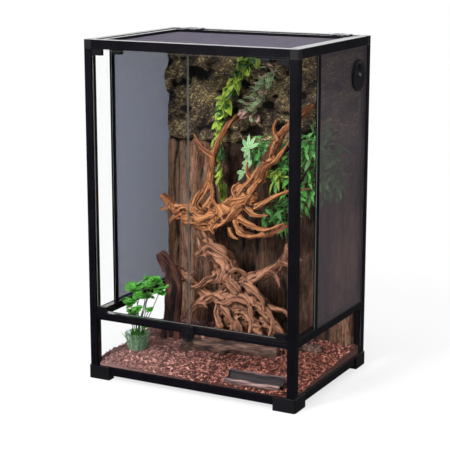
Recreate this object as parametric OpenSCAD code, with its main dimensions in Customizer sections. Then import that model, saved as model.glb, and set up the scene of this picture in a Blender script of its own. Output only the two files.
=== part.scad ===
// Front-opening reptile terrarium with bark bedding, driftwood, bark and plants.
// Millimetres. +Z up, +Y to the back, origin on the floor under the middle of the frame.

/* [Enclosure] */
// Width of the frame from side to side
frame_w = 610; // [590:1:650]
// Depth of the frame from front to back
frame_d = 457; // [440:1:490]
// Height from the floor to the top of the frame
frame_h = 914; // [890:1:980]

/* [Frame bars] */
// Width of every post and rail, seen from above
bar = 22; // [21:0.5:25]
// Height of the top rails
top_rail_h = 24; // [23:0.5:28]
// Height of the middle rails
mid_rail_h = 20; // [20:0.5:24]
// Height of the bottom rails
bottom_rail_h = 22; // [20:0.5:26]
// Height of the top of the middle rails above the floor
mid_top = 187; // [175:1:205]
// Radius of the rounded outer corner of posts and corner caps
post_r = 3; // [1:0.5:4]
// Wall of the hollow profiles
wall = 1.8; // [1.4:0.1:2.1]
// Depth of the shadow lines along the front rails
line_d = 0.8; // [0.4:0.1:0.9]

/* [Panels] */
// Thickness of the glass
glass_t = 4; // [3:0.5:5]
// How far the outer face of a fixed panel lies behind the frame's outer face
glass_in = 2; // [1.7:0.1:2.4]
// How far a panel reaches into its groove
bite = 6; // [5:0.5:6.5]
// Thickness of the floor panel
floor_t = 4; // [3:0.5:5]
// How far the ledges under the floor panel reach inwards
floor_ledge = 8; // [6:0.5:12]
// Width of the side dividers
mullion_w = 13; // [13:0.5:18]
// Thickness of the side dividers
mullion_t = 7; // [7:0.5:9]
// Middle of the side dividers behind the frame's front face
mullion_back = 128.5; // [110:0.5:150]

/* [Wire screens] */
// Thickness of the wires
wire = 1.2; // [0.8:0.1:1.6]
// Width of the rim round a side screen
screen_rim = 9; // [8:0.5:12]
// Gaps along the depth of a side screen
screen_nx = 12; // [6:1:12]
// Gaps along the height of a side screen
screen_nz = 25; // [12:1:25]
// Gaps along the width of the lid's mesh
lid_nx = 20; // [10:1:20]
// Gaps along the depth of the lid's mesh
lid_ny = 14; // [7:1:14]

/* [Feet] */
// Gap between the floor and the underside of the frame
foot_drop = 14; // [10:0.5:20]
// How far a foot reaches along each side from the corner
foot_reach = 60; // [45:1:80]
// Height of a foot's outer walls
foot_h = 36; // [30:0.5:45]
// Thickness of a foot's outer walls
foot_wall = 3; // [2:0.5:4]

/* [Doors] */
// Gap between the two glass leaves
door_gap = 3; // [2:0.5:5]
// Gap between a leaf and the post beside it
door_side_gap = 2; // [1.5:0.1:3]
// Gap between a leaf and the rail above or below it
door_rail_gap = 3; // [2.5:0.1:4]
// How far the outer face of a leaf lies behind the frame's outer face
door_in = 3; // [2.8:0.1:3.5]
// Pivot of a door, from the post's inner face
pivot_in = 14; // [13.5:0.5:18]
// Length of a door clamp
clamp_l = 30; // [26:1:36]
// Height of a door clamp
clamp_h = 15; // [12:0.5:20]
// Radius of the doors' and the lid's pins
pin_r = 2; // [1.5:0.1:2.2]
// Outer radius of the door bushes
bush_r = 3.1; // [2.8:0.1:3.2]
// Length of the door bushes
bush_l = 6; // [5:0.5:7]

/* [Latch] */
// Width of the latch lever
latch_w = 36; // [30:1:40]
// From the latch's pivot to the lever's flat end
latch_head = 9; // [8:0.5:9]
// From the latch's pivot to the middle of the lever's round end
latch_arm = 15; // [13:0.5:20]
// Thickness of the latch lever
latch_t = 3.9; // [3:0.1:5]
// Radius of the pin that the latch turns on
latch_pin_r = 3; // [2.5:0.1:3.2]

/* [Lid] */
// Thickness of the lid frame
lid_h = 10; // [9:0.5:10.5]
// How far the lid's top lies below the top of the frame
lid_drop = 1.8; // [1.4:0.1:2.2]
// Width of the lid frame's bars
lid_bar = 18; // [16:0.5:22]
// Gap between the lid and the rails
lid_gap = 1.5; // [1:0.1:2]
// Middle of the lid's hinges, from the middle of the frame
hinge_x = 212.5; // [190:0.5:225]
// Width of a hinge bracket
bracket_w = 24; // [18:1:30]
// Middle of the lid's locks, from the middle of the frame
lock_x = 225; // [200:0.5:230]
// Length of a lock's plate
lock_l = 64; // [50:1:70]
// Travel of a lock
lock_travel = 10; // [8:0.5:12]

/* [Cable port] */
// Radius of the port's flange
port_r = 42; // [36:0.5:46]
// Radius of the port's opening
port_hole_r = 30; // [22:0.5:30]
// Middle of the port, from the frame's back face
port_back = 78; // [74:0.5:110]
// Middle of the port, below the top of the frame
port_down = 97; // [90:0.5:140]

/* [Bedding and furnishings] */
// Depth of the bark bedding over the floor panel at the front
bed_front = 18; // [17:0.5:30]
// Depth of the bark bedding over the floor panel at the back
bed_back = 42; // [35:0.5:60]
// Mean thickness of the bark background
bark_t = 36; // [30:0.5:45]
// Outer radius of the half log trough
trough_r = 26; // [20:0.5:32]
// Radius of the lying log
log_r = 20; // [15:0.5:24]
// Radius of the plant cup at its rim
cup_r = 30; // [25:0.5:34]

/* [Hidden] */

BLACK = "#17181b";
GLASS = [0.75, 0.86, 0.88, 0.25];
GREY = "#6d7076";
STEEL = "#9a9ca1";
WOOD = "#b9773f";
BARK = "#4a3222";
GREEN = "#4f8a35";

// Clearances
glass_gap = 0.15;    // each side of a panel in its groove
groove_end = 1;      // behind a panel's edge in its groove
seat_gap = 0.3;      // between a loose piece and what carries it
running_fit = 0.05;  // each side of a turning pin
cut = 1;             // how far a cutter runs past the face it opens

// Frame levels and faces
half_w = frame_w / 2;
half_d = frame_d / 2;
frame_z = foot_drop;
bottom_top = frame_z + bottom_rail_h;
mid_z = mid_top - mid_rail_h;
top_z = frame_h - top_rail_h;
in_x = half_w - bar;
in_y = half_d - bar;
bar_round = 48;

// Panel grooves
groove_u = glass_in - glass_gap;
groove_w = glass_t + 2 * glass_gap;
groove_d = bite + groove_end;
core_u = groove_u + groove_w + wall;
panel_low = bottom_top - bite + seat_gap;
mid_low = mid_top - bite - groove_end + seat_gap;

// Land kinds beside a rail's hollow
OPEN = 0;
LAND = 1;
GROOVE = 2;

// Ledge in the top rails that carries the lid
lid_top = frame_h - lid_drop;
lid_z = lid_top - lid_h;
lid_seat = 0.2;
ledge_t = 2;
ledge_w = 6;
ledge_z = lid_z - lid_seat - ledge_t;

// Lid outline
lid_x = in_x - lid_gap;
lid_front = -in_y + 2;
lid_back = in_y - lid_gap;
lid_axis_y = lid_front + 6;
lid_axis_z = lid_z + lid_h / 2 - 0.2;
lid_swing = 8;  // from the lid's axis to where its front edge no longer sweeps
ear_r = 5;
notch_d = 14.5;
mesh_z = lid_z + 1.4;
mesh_bite = 2.8;

// Floor panel and bedding
floor_z = frame_z + 4;
bed_z0 = floor_z + floor_t;

// Doors
pivot_x = in_x - pivot_in;
pivot_y = -half_d + door_in + glass_t / 2;
leaf_x = in_x - door_side_gap;
leaf_low = mid_top + door_rail_gap;
leaf_high = top_z - door_rail_gap;
clamp_t = 2 * (door_in + glass_t / 2);
clamp_gap = 1;

// ---------------------------------------------------------------- frame

// Puts a piece drawn at the front left corner, with x and y running inwards, at another corner
module at_corner(sx, sy) {
    mirror([sx > 0 ? 1 : 0, 0, 0])
        mirror([0, sy > 0 ? 1 : 0, 0])
            translate([-half_w, -half_d, 0]) children();
}

// Extrudes a section, u inwards and v up, along the front wall or, with sy = 1, the back wall
module along_x(len, z0, sy) {
    mirror([0, sy > 0 ? 1 : 0, 0])
        translate([-len / 2, -half_d, z0])
            rotate([90, 0, 90]) linear_extrude(len) children();
}

// Extrudes a section, u inwards and v up, along the left wall or, with sx = 1, the right wall
module along_y(len, z0, sx) {
    mirror([sx > 0 ? 1 : 0, 0, 0])
        translate([-half_w, len / 2, z0])
            rotate([90, 0, 0]) linear_extrude(len) children();
}

// Outline of a post or corner cap, its outer corner rounded
module corner_outline() {
    translate([post_r, 0]) square([bar - post_r, bar]);
    translate([0, post_r]) square([bar, bar - post_r]);
    translate([post_r, post_r]) circle(r = post_r, $fn = bar_round);
}

// Hollow post profile with a groove for each of the two walls that meet at it
module post_section() {
    core_end = bar - groove_d - wall;
    difference() {
        corner_outline();
        translate([groove_u, bar - groove_d]) square([groove_w, groove_d + cut]);
        translate([bar - groove_d, groove_u]) square([groove_d + cut, groove_w]);
        translate([wall, wall]) square(core_end - wall);
        translate([core_u, core_u]) square(bar - wall - core_u);
    }
}

module post(sx, sy) {
    color(BLACK) at_corner(sx, sy)
        translate([0, 0, frame_z]) linear_extrude(top_z - frame_z) post_section();
}

// Hollow rail profile; below and above say what its outer half holds at each edge
module rail_section(h, below, above) {
    low = below == OPEN ? wall : groove_d + wall;
    high = h - (above == OPEN ? wall : groove_d + wall);
    difference() {
        square([bar, h]);
        if (below == GROOVE) translate([groove_u, -cut]) square([groove_w, groove_d + cut]);
        if (above == GROOVE) translate([groove_u, h - groove_d]) square([groove_w, groove_d + cut]);
        translate([core_u, wall]) square([bar - wall - core_u, h - 2 * wall]);
        if (high > low) translate([wall, low]) square([core_u, high - low]);
    }
}

// Shadow line along a rail's outer face
module line_cut(len, z0) {
    translate([-len / 2 - cut, -half_d - cut, z0]) cube([len + 2 * cut, line_d + cut, 1]);
}

// Ledge on a rail's inner face, kept short of the ledges that cross its ends
module ledge_x(len, z0, width, sy, start = bar - wall) {
    along_x(len - 2 * (width + seat_gap), z0, sy)
        translate([start, 0]) square([bar + width - start, ledge_t]);
}

// Ledge on a side rail's inner face, from the given y to the back
module ledge_y(y0, z0, width, sx) {
    translate([0, (y0 + in_y) / 2, 0])
        along_y(in_y - y0, z0, sx) translate([bar - wall, 0]) square([width + wall, ledge_t]);
}

// Socket in a rail for a door bush, up from the given level
module bush_cut(z0) {
    for (s = [-1, 1])
        translate([s * pivot_x, pivot_y, z0]) cylinder(r = bush_r + running_fit, h = bush_l + cut, $fn = 48);
}

module top_rail_front() {
    color(BLACK) difference() {
        along_x(2 * in_x, top_z, -1) rail_section(top_rail_h, LAND, OPEN);
        line_cut(2 * in_x, top_z + 3);
        translate([0, 0, top_z - cut]) bush_cut(0);
    }
}

// The rear rail's ledge is clipped on in three strips, with a gap where each lid lock's hook
// drops through, to slide outwards under the strip beside it
module top_rail_back() {
    color(BLACK) {
        along_x(2 * in_x, top_z, 1) rail_section(top_rail_h, GROOVE, OPEN);
        difference() {
            ledge_x(2 * in_x, ledge_z, ledge_w, 1, bar + glass_gap);
            for (s = [-1, 1])
                translate([s * lock_x - hook_way / 2, in_y - ledge_w - cut, ledge_z - cut])
                    cube([hook_way, ledge_w + cut, ledge_t + 2 * cut]);
        }
    }
}

module top_rail_side(sx) {
    color(BLACK) {
        along_y(2 * in_y, top_z, sx) rail_section(top_rail_h, GROOVE, OPEN);
        ledge_y(lid_axis_y + lid_swing, ledge_z, ledge_w, sx);
    }
}

module mid_rail_front() {
    color(BLACK) difference() {
        along_x(2 * in_x, mid_z, -1) rail_section(mid_rail_h, GROOVE, LAND);
        line_cut(2 * in_x, mid_top - 2.5);
        line_cut(2 * in_x, mid_z + mid_rail_h / 2);
        bush_cut(mid_top - bush_l);
        translate([0, -half_d - cut, latch_z]) rotate([-90, 0, 0])
            cylinder(r = boss_tail_r + running_fit, h = boss_tail_l + cut + seat_gap, $fn = 48);
    }
}

module mid_rail_side(sx) {
    color(BLACK) along_y(2 * in_y, mid_z, sx) rail_section(mid_rail_h, GROOVE, GROOVE);
}

module bottom_rail_x(sy) {
    color(BLACK) {
        along_x(2 * in_x, frame_z, sy) rail_section(bottom_rail_h, OPEN, GROOVE);
        ledge_x(2 * in_x, floor_z - ledge_t, floor_ledge, sy);
    }
}

module bottom_rail_y(sx) {
    color(BLACK) {
        along_y(2 * in_y, frame_z, sx) rail_section(bottom_rail_h, OPEN, GROOVE);
        ledge_y(-in_y, floor_z - ledge_t, floor_ledge, sx);
    }
}

// Corner caps with tongues that plug into the post below and the two rails beside it
module top_corner_caps() {
    tongue = 9;
    reach = 12;
    post_tongue_u = (bar - groove_d) / 2 - tongue / 2;
    rail_tongue_u = bar / 2 - tongue / 2;
    rail_tongue_z = top_z + (top_rail_h + groove_d) / 2 - tongue / 2;
    pocket = bite + seat_gap;
    color(BLACK) for (sx = [-1, 1], sy = [-1, 1]) at_corner(sx, sy) {
        difference() {
            translate([0, 0, top_z]) linear_extrude(top_rail_h) corner_outline();
            for (long = [0, 1])
                mirror([long, -long, 0])
                    translate([bar - pocket, groove_u, top_z - cut])
                        cube([pocket + cut, groove_w, pocket + cut]);
        }
        translate([post_tongue_u, post_tongue_u, top_z - reach])
            cube([tongue, tongue, reach + cut]);
        translate([bar - cut, rail_tongue_u, rail_tongue_z]) cube([reach + cut, tongue, tongue]);
        translate([rail_tongue_u, bar - cut, rail_tongue_z]) cube([tongue, reach + cut, tongue]);
    }
}

foot_slot = 8;    // width of the relief under a foot's legs
foot_slot_d = 3;  // depth of that relief

// Foot: a solid pad under the corner, with outer walls that wrap up round the bottom rails
module foot(sx, sy) {
    pad_w = bar + foot_wall;
    round_r = post_r + foot_wall;
    color(BLACK) at_corner(sx, sy) difference() {
        translate([-foot_wall, -foot_wall, 0]) union() {
            translate([round_r, 0, 0]) cube([foot_reach + foot_wall - round_r, pad_w, foot_h]);
            translate([0, round_r, 0]) cube([pad_w, foot_reach + foot_wall - round_r, foot_h]);
            translate([round_r, round_r, 0]) cylinder(r = round_r, h = foot_h, $fn = bar_round);
        }
        translate([0, 0, foot_drop]) linear_extrude(foot_h) {
            translate([post_r, 0]) square([foot_reach + cut, pad_w]);
            translate([0, post_r]) square([pad_w, foot_reach + cut]);
            translate([post_r, post_r]) circle(r = post_r, $fn = bar_round);
        }
        for (long = [0, 1])
            mirror([long, -long, 0])
                translate([bar, bar / 2 - foot_slot / 2, -cut])
                    cube([foot_reach - bar - foot_slot, foot_slot, foot_slot_d + cut]);
    }
}

// ---------------------------------------------------------------- panels

// Upright panel in the front wall, or with sy = 1 in the back wall
module panel_x(x0, x1, z0, z1, sy) {
    mirror([0, sy > 0 ? 1 : 0, 0])
        translate([x0, -half_d + glass_in, z0]) cube([x1 - x0, glass_t, z1 - z0]);
}

// Upright panel in the left wall, or with sx = 1 in the right wall
module panel_y(y0, y1, z0, z1, sx) {
    mirror([sx > 0 ? 1 : 0, 0, 0])
        translate([-half_w + glass_in, y0, z0]) cube([glass_t, y1 - y0, z1 - z0]);
}

// The floor panel lies on the ledges of the bottom rails
module floor_panel() {
    color(BLACK) translate([-in_x + seat_gap, -in_y + seat_gap, floor_z])
        cube([2 * (in_x - seat_gap), 2 * (in_y - seat_gap), floor_t]);
}

module lower_glass_front() {
    color(GLASS) panel_x(-in_x - bite, in_x + bite, panel_low, mid_z + bite, -1);
}

module lower_glass_side(sx) {
    color(GLASS) panel_y(-in_y - bite, in_y + bite, panel_low, mid_z + bite, sx);
}

module back_glass() {
    color(GLASS) panel_x(-in_x - bite, in_x + bite, panel_low, top_z + bite, 1);
}

mullion_y = -half_d + mullion_back;
mullion_web = 3;
mullion_bite = (mullion_w - mullion_web) / 2;

module side_glass(sx) {
    color(GLASS)
        panel_y(-in_y - bite, mullion_y - mullion_web / 2 - groove_end / 2, mid_low, top_z + bite, sx);
}

// Divider with a groove on each side, for the glass strip in front and the screen behind
module mullion(sx) {
    color(BLACK) mirror([sx > 0 ? 1 : 0, 0, 0])
        translate([-half_w, mullion_y, mid_top]) linear_extrude(top_z - mid_top)
            difference() {
                translate([0, -mullion_w / 2]) square([mullion_t, mullion_w]);
                for (s = [0, 1])
                    mirror([0, s, 0])
                        translate([groove_u, mullion_web / 2])
                            square([groove_w, mullion_bite + cut]);
            }
}

// Sheet of wires with nx by ny gaps, centred, inside a rim
module net(w, h, nx, ny, rim) {
    pitch_x = (w - 2 * rim + wire) / nx;
    pitch_y = (h - 2 * rim + wire) / ny;
    difference() {
        square([w, h], center = true);
        for (i = [0 : nx - 1], j = [0 : ny - 1])
            translate([-w / 2 + rim + i * pitch_x, -h / 2 + rim + j * pitch_y])
                square([pitch_x - wire, pitch_y - wire]);
    }
}

// Wire screen behind a divider: a rim that stands in the grooves, and wires across it
module side_screen(sx) {
    y0 = mullion_y + mullion_web / 2 + groove_end / 2;
    y1 = in_y + bite;
    z0 = mid_low;
    z1 = top_z + bite;
    w = y1 - y0;
    h = z1 - z0;
    color(STEEL) mirror([sx > 0 ? 1 : 0, 0, 0])
        translate([-half_w + glass_in, (y0 + y1) / 2, (z0 + z1) / 2])
            rotate([90, 0, 90]) difference() {
                union() {
                    linear_extrude(glass_t) difference() {
                        square([w, h], center = true);
                        square([w - 2 * screen_rim, h - 2 * screen_rim], center = true);
                    }
                    translate([0, 0, (glass_t - wire) / 2])
                        linear_extrude(wire) net(w, h, screen_nx, screen_nz, screen_rim);
                }
                if (sx > 0)
                    translate([port_y - (y0 + y1) / 2, port_z - (z0 + z1) / 2, -cut])
                        cylinder(r = neck_r + seat_gap, h = glass_t + 2 * cut, $fn = 96);
            }
}

// ---------------------------------------------------------------- cable port

port_y = half_d - port_back;
port_z = frame_h - port_down;
neck_r = port_hole_r + 4;
flange_t = 3;
web_t = 2;
hub_r = 7;
port_screw_r = 2.4;
screen_x = half_w - glass_in - glass_t / 2;
flange_x = screen_x + wire / 2 + 0.15;
port_ring_x = screen_x - wire / 2 - 0.15 - flange_t;
shutter_x = flange_x + flange_t + 0.2;
shutter_t = 2.2;
shutter_r = port_hole_r + 4;

// Turns local z to the port's axis, outwards through the right screen
module on_port(x) {
    translate([x, port_y, port_z]) rotate([90, 0, 90]) children();
}

// Sleeve with a flange outside and a ring inside; its lower half is closed by a web
module port_base() {
    ring_x = port_ring_x;
    color(BLACK) {
        on_port(ring_x) difference() {
            union() {
                cylinder(r = neck_r, h = flange_x - ring_x + flange_t, $fn = 96);
                translate([0, 0, flange_x - ring_x]) cylinder(r = port_r, h = flange_t, $fn = 96);
            }
            difference() {
                translate([0, 0, -cut])
                    cylinder(r = port_hole_r, h = flange_x - ring_x + flange_t + 2 * cut, $fn = 96);
                translate([-port_hole_r, -port_hole_r - cut, flange_x - ring_x + flange_t - web_t])
                    cube([2 * port_hole_r, port_hole_r + cut, web_t]);
                cylinder(r = hub_r, h = flange_x - ring_x + flange_t, $fn = 64);
            }
            translate([0, 0, -cut])
                cylinder(r = port_screw_r + running_fit, h = 2 * flange_x, $fn = 48);
        }
        on_port(ring_x) difference() {
            cylinder(r = port_r, h = flange_t, $fn = 96);
            translate([0, 0, -cut])
                cylinder(r = neck_r + 0.1, h = flange_t + 2 * cut, $fn = 96);
        }
    }
}

// Half disc that covers the open upper half, with a finger rib
module port_shutter() {
    color(BLACK) on_port(shutter_x) difference() {
        union() {
            intersection() {
                cylinder(r = shutter_r, h = shutter_t, $fn = 96);
                translate([-shutter_r, -2, 0]) cube([2 * shutter_r, shutter_r + 2, shutter_t]);
            }
            cylinder(r = hub_r, h = shutter_t, $fn = 64);
            translate([-1.5, hub_r + 3, 0]) cube([3, shutter_r - hub_r - 8, shutter_t + 3]);
        }
        translate([0, 0, -cut])
            cylinder(r = port_screw_r + running_fit, h = shutter_t + 2 * cut, $fn = 48);
    }
}

module port_screw() {
    head_r = 5;
    head_t = 2;
    shank = flange_t + shutter_t + 0.4;
    color(STEEL) on_port(shutter_x + shutter_t + 0.2) difference() {
        union() {
            cylinder(r = head_r, h = head_t, $fn = 64);
            translate([0, 0, -shank]) cylinder(r = port_screw_r, h = shank + cut, $fn = 48);
        }
        translate([-head_r, -0.5, head_t - 0.8]) cube([2 * head_r, 1, cut]);
    }
}

// ---------------------------------------------------------------- latch

latch_z = mid_top - latch_head;
boss_tail_r = 3.4;
boss_tail_l = 6;
boss_flange_r = 8;
boss_flange_t = 0.8;
latch_back = boss_flange_t + 0.3;
latch_screw_r = 1.5;

// Turns local z outwards from the front rail at the latch's pivot
module on_latch(out) {
    translate([0, -half_d - out, latch_z]) rotate([90, 0, 0]) children();
}

module latch_boss() {
    pin_l = latch_back + latch_t + 0.2;
    color(BLACK) on_latch(0) difference() {
        union() {
            translate([0, 0, -boss_tail_l]) cylinder(r = boss_tail_r, h = boss_tail_l + 0.1, $fn = 64);
            cylinder(r = boss_flange_r, h = boss_flange_t, $fn = 64);
            cylinder(r = latch_pin_r, h = pin_l, $fn = 64);
        }
        translate([0, 0, -boss_tail_l + 1])
            cylinder(r = latch_screw_r + running_fit, h = pin_l + boss_tail_l, $fn = 48);
    }
}

// Lever with a flat end that lies level with the rail and a round end that hangs below it
module latch_lever() {
    half = latch_w / 2;
    ridge = 0.6;
    grip_r = 4.5;
    grip_h = 2.2;
    color(BLACK) on_latch(latch_back) difference() {
        union() {
            linear_extrude(latch_t) {
                translate([-half, -latch_arm]) square([latch_w, latch_arm + latch_head]);
                translate([0, -latch_arm]) circle(r = half, $fn = 96);
            }
            for (r = [half - 1.5, half - 5])
                translate([0, -latch_arm, latch_t - cut]) difference() {
                    cylinder(r = r, h = cut + ridge, $fn = 96);
                    translate([0, 0, -cut]) cylinder(r = r - 1, h = 4 * cut, $fn = 96);
                    translate([-half, latch_arm - 2 * grip_r, -cut]) cube([latch_w, half, 4 * cut]);
                }
            translate([0, 0, latch_t - cut]) linear_extrude(grip_h + cut) {
                translate([0, -latch_arm - grip_r]) circle(r = grip_r, $fn = 64);
                translate([0, -2 * grip_r - 1]) circle(r = grip_r, $fn = 64);
                translate([-grip_r, -latch_arm - grip_r])
                    square([2 * grip_r, latch_arm - grip_r - 1]);
            }
        }
        translate([0, 0, -cut])
            cylinder(r = latch_pin_r + running_fit, h = latch_t + 2 * cut, $fn = 48);
    }
}

module latch_screw() {
    head_r = 4.2;
    head_t = 1.8;
    shank = latch_t + boss_tail_l - 2;
    color(GREY) on_latch(latch_back + latch_t + 0.2) difference() {
        union() {
            cylinder(r = head_r, h = head_t, $fn = 64);
            translate([0, 0, -shank]) cylinder(r = latch_screw_r, h = shank + 0.5, $fn = 48);
        }
        translate([0, 0, head_t - 0.9]) cylinder(r = 1.6, h = cut, $fn = 6);
    }
}

// ---------------------------------------------------------------- doors

// Glass leaf; the left one by default, s = 1 gives the right one
module door_glass(s) {
    color(GLASS) mirror([s > 0 ? 1 : 0, 0, 0])
        translate([-leaf_x, -half_d + door_in, leaf_low])
            cube([leaf_x - door_gap / 2, glass_t, leaf_high - leaf_low]);
}

// Channel that grips the leaf's lower outer corner, with the pin that it turns on
module door_clamp() {
    slot = glass_t + 2 * running_fit;
    translate([-leaf_x, pivot_y, mid_top + clamp_gap]) difference() {
        translate([0, -clamp_t / 2, 0]) cube([clamp_l, clamp_t, clamp_h]);
        translate([-cut, -slot / 2, door_rail_gap - clamp_gap])
            cube([clamp_l + 2 * cut, slot, clamp_h]);
    }
    translate([-pivot_x, pivot_y, mid_top - bush_l + 0.5])
        cylinder(r = pin_r, h = bush_l - 0.5 + clamp_gap + 0.5, $fn = 48);
}

module door_hinges(s) {
    middle = (mid_top + top_z) / 2;
    color(BLACK) mirror([s > 0 ? 1 : 0, 0, 0]) {
        door_clamp();
        translate([0, 0, 2 * middle]) mirror([0, 0, 1]) door_clamp();
    }
}

// Bushes in the rails that the door pins turn in
module hinge_bushes() {
    color(GREY) for (s = [-1, 1], z = [mid_top - bush_l, top_z])
        translate([s * pivot_x, pivot_y, z]) difference() {
            cylinder(r = bush_r, h = bush_l, $fn = 48);
            translate([0, 0, -cut])
                cylinder(r = pin_r + running_fit, h = bush_l + 2 * cut, $fn = 48);
        }
}

// ---------------------------------------------------------------- lid

neck = 4;                                  // side of a lock's square necks
neck_slot = neck + 0.8;                    // width of the slots that they slide in
lock_foot = 8;                             // side of a lock's square feet
hook_way = lock_foot + 1.8;                // gap in the ledge that a hook drops through
hook_t = 2.5;
hook_z = ledge_z - seat_gap - hook_t;
lock_foot_t = 2;
lock_reach = 21.5;                         // how far a lock's plate reaches behind its neck
lock_shank_y = lid_back - lid_bar / 2;
lock_z = frame_h + seat_gap;
lock_t = 2.5;
lid_foot_z = lid_z + 0.2;
lid_recess_h = lock_foot_t + 0.8;

// Frame of the lid, notched for the brackets, slotted for the locks and grooved for the mesh
module lid_frame() {
    depth = lid_back - lid_front;
    open_x = lid_x - lid_bar;
    notch_w = bracket_w + 2;
    pin_l = notch_w + 10;
    color(BLACK) difference() {
        translate([-lid_x, lid_front, lid_z]) cube([2 * lid_x, depth, lid_h]);
        translate([-open_x, lid_front + lid_bar, lid_z - cut])
            cube([2 * open_x, depth - 2 * lid_bar, lid_h + 2 * cut]);
        translate([-open_x - mesh_bite - 0.2, lid_front + lid_bar - mesh_bite - 0.2, mesh_z - 0.2])
            cube([2 * (open_x + mesh_bite + 0.2), depth - 2 * (lid_bar - mesh_bite - 0.2), wire + 0.4]);
        translate([0, lid_front, lid_top]) rotate([45, 0, 0])
            cube([2 * lid_x + 2 * cut, 3, 3], center = true);
        for (s = [-1, 1]) {
            translate([s * hinge_x - notch_w / 2, lid_front - cut, lid_z - cut])
                cube([notch_w, notch_d + cut, lid_h + 2 * cut]);
            translate([s * hinge_x - pin_l / 2, lid_axis_y, lid_axis_z]) rotate([0, 90, 0])
                cylinder(r = pin_r + running_fit, h = pin_l, $fn = 48);
            translate([s * (lock_x + lock_travel / 2) - (lock_travel + neck_slot) / 2,
                       lock_shank_y - neck_slot / 2, lid_z - cut])
                cube([lock_travel + neck_slot, neck_slot, lid_h + 2 * cut]);
            translate([s * (lock_x + lock_travel / 2) - (lock_travel + lock_foot + 1) / 2,
                       lock_shank_y - lock_foot / 2 - 0.4, lid_z - cut])
                cube([lock_travel + lock_foot + 1, lock_foot + 0.8, lid_recess_h + cut]);
        }
    }
}

module lid_mesh() {
    w = 2 * (lid_x - lid_bar + mesh_bite);
    h = lid_back - lid_front - 2 * (lid_bar - mesh_bite);
    color(STEEL) translate([0, (lid_back + lid_front) / 2, mesh_z])
        linear_extrude(wire) net(w, h, lid_nx, lid_ny, mesh_bite + 0.5);
}

module lid_pins() {
    pin_l = bracket_w + 12 - 0.4;
    color(STEEL) for (s = [-1, 1])
        translate([s * hinge_x - pin_l / 2, lid_axis_y, lid_axis_z]) rotate([0, 90, 0])
            cylinder(r = pin_r, h = pin_l, $fn = 48);
}

// Brackets on the front rail's inner face, each with an eye for the lid's pin and a block
// under the rail that the doors close against
module lid_brackets() {
    plate_t = 3;
    block_z = leaf_high - 9;
    plate_top = lid_top - 0.5;
    stop_y = -half_d + door_in + glass_t + seat_gap;
    color(BLACK) for (s = [-1, 1])
        translate([s * hinge_x - bracket_w / 2, 0, 0]) difference() {
            union() {
                translate([0, -in_y, block_z]) cube([bracket_w, plate_t, plate_top - block_z]);
                translate([0, stop_y, block_z])
                    cube([bracket_w, -in_y - stop_y + plate_t, top_z - block_z]);
                translate([0, lid_axis_y, lid_axis_z]) rotate([0, 90, 0])
                    cylinder(r = ear_r, h = bracket_w, $fn = 64);
                translate([0, -in_y, lid_axis_z - ear_r])
                    cube([bracket_w, lid_axis_y + in_y, 2 * ear_r]);
            }
            translate([-cut, lid_axis_y, lid_axis_z]) rotate([0, 90, 0])
                cylinder(r = pin_r + running_fit, h = bracket_w + 2 * cut, $fn = 48);
        }
}

// Sliding lock, carried by a neck and foot in the lid's slot, with a hook at the neck's end
// that drops through a gap in the rear rail's ledge and slides under the ledge
module lid_lock(s) {
    plate_y0 = lock_shank_y - 6;
    plate_y1 = lock_shank_y + lock_reach;
    color(GREY) translate([s * lock_x, 0, 0]) {
        translate([-lock_l / 2, plate_y0, lock_z]) cube([lock_l, plate_y1 - plate_y0, lock_t]);
        for (x = [-lock_l / 4, lock_l / 4])
            translate([x - 8, lock_shank_y - 5, lid_top + 0.1])
                cube([6, 10, lock_z - lid_top]);
        translate([-neck / 2, lock_shank_y - neck / 2, hook_z])
            cube([neck, neck, lock_z - hook_z + cut]);
        translate([-lock_foot / 2, lock_shank_y - lock_foot / 2, lid_foot_z])
            cube([lock_foot, lock_foot, lock_foot_t]);
        translate([-lock_foot / 2, lock_shank_y - neck / 2, hook_z])
            cube([lock_foot, lid_back - lock_shank_y + neck / 2, hook_t]);
        for (k = [-3 : 3])
            translate([k * 4 - 0.75, plate_y0 + 4, lock_z + lock_t - 0.5])
                cube([1.5, plate_y1 - plate_y0 - 8, 1.3]);
    }
}

// ---------------------------------------------------------------- shapes for wood and leaves

// The frame that the routes below were drawn for, and the floor of its bedding
drawn = [610, 457, 914];
drawn_floor = 22;
back_shift = (frame_d - drawn.y) / 2;

// Pieces that hang on the background stretch with the frame's width and height, and stay as
// far from its back wall
function hung_at(p) = [p.x * frame_w / drawn.x, p.y + back_shift, p.z * frame_h / drawn.z];
function hung(route) = [for (p = route) hung_at(p)];

// Pieces that stand on the floor keep their shape, and their place before the back wall
module standing() {
    translate([0, back_shift, bed_z0 - drawn_floor]) children();
}

function unit(v) = v / norm(v);
function mix(a, b, t) = a + (b - a) * t;

// Point on a smooth curve through the points of a route
function curve_at(p, i, t) =
    let (n = len(p) - 1,
         a = p[max(i - 1, 0)], b = p[i], c = p[min(i + 1, n)], d = p[min(i + 2, n)])
    0.5 * (2 * b + (c - a) * t + (2 * a - 5 * b + 4 * c - d) * t * t
           + (3 * b - a - 3 * c + d) * t * t * t);
function smooth(p, steps) =
    concat([for (i = [0 : len(p) - 2], k = [0 : steps - 1]) curve_at(p, i, k / steps)],
           [p[len(p) - 1]]);

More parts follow.
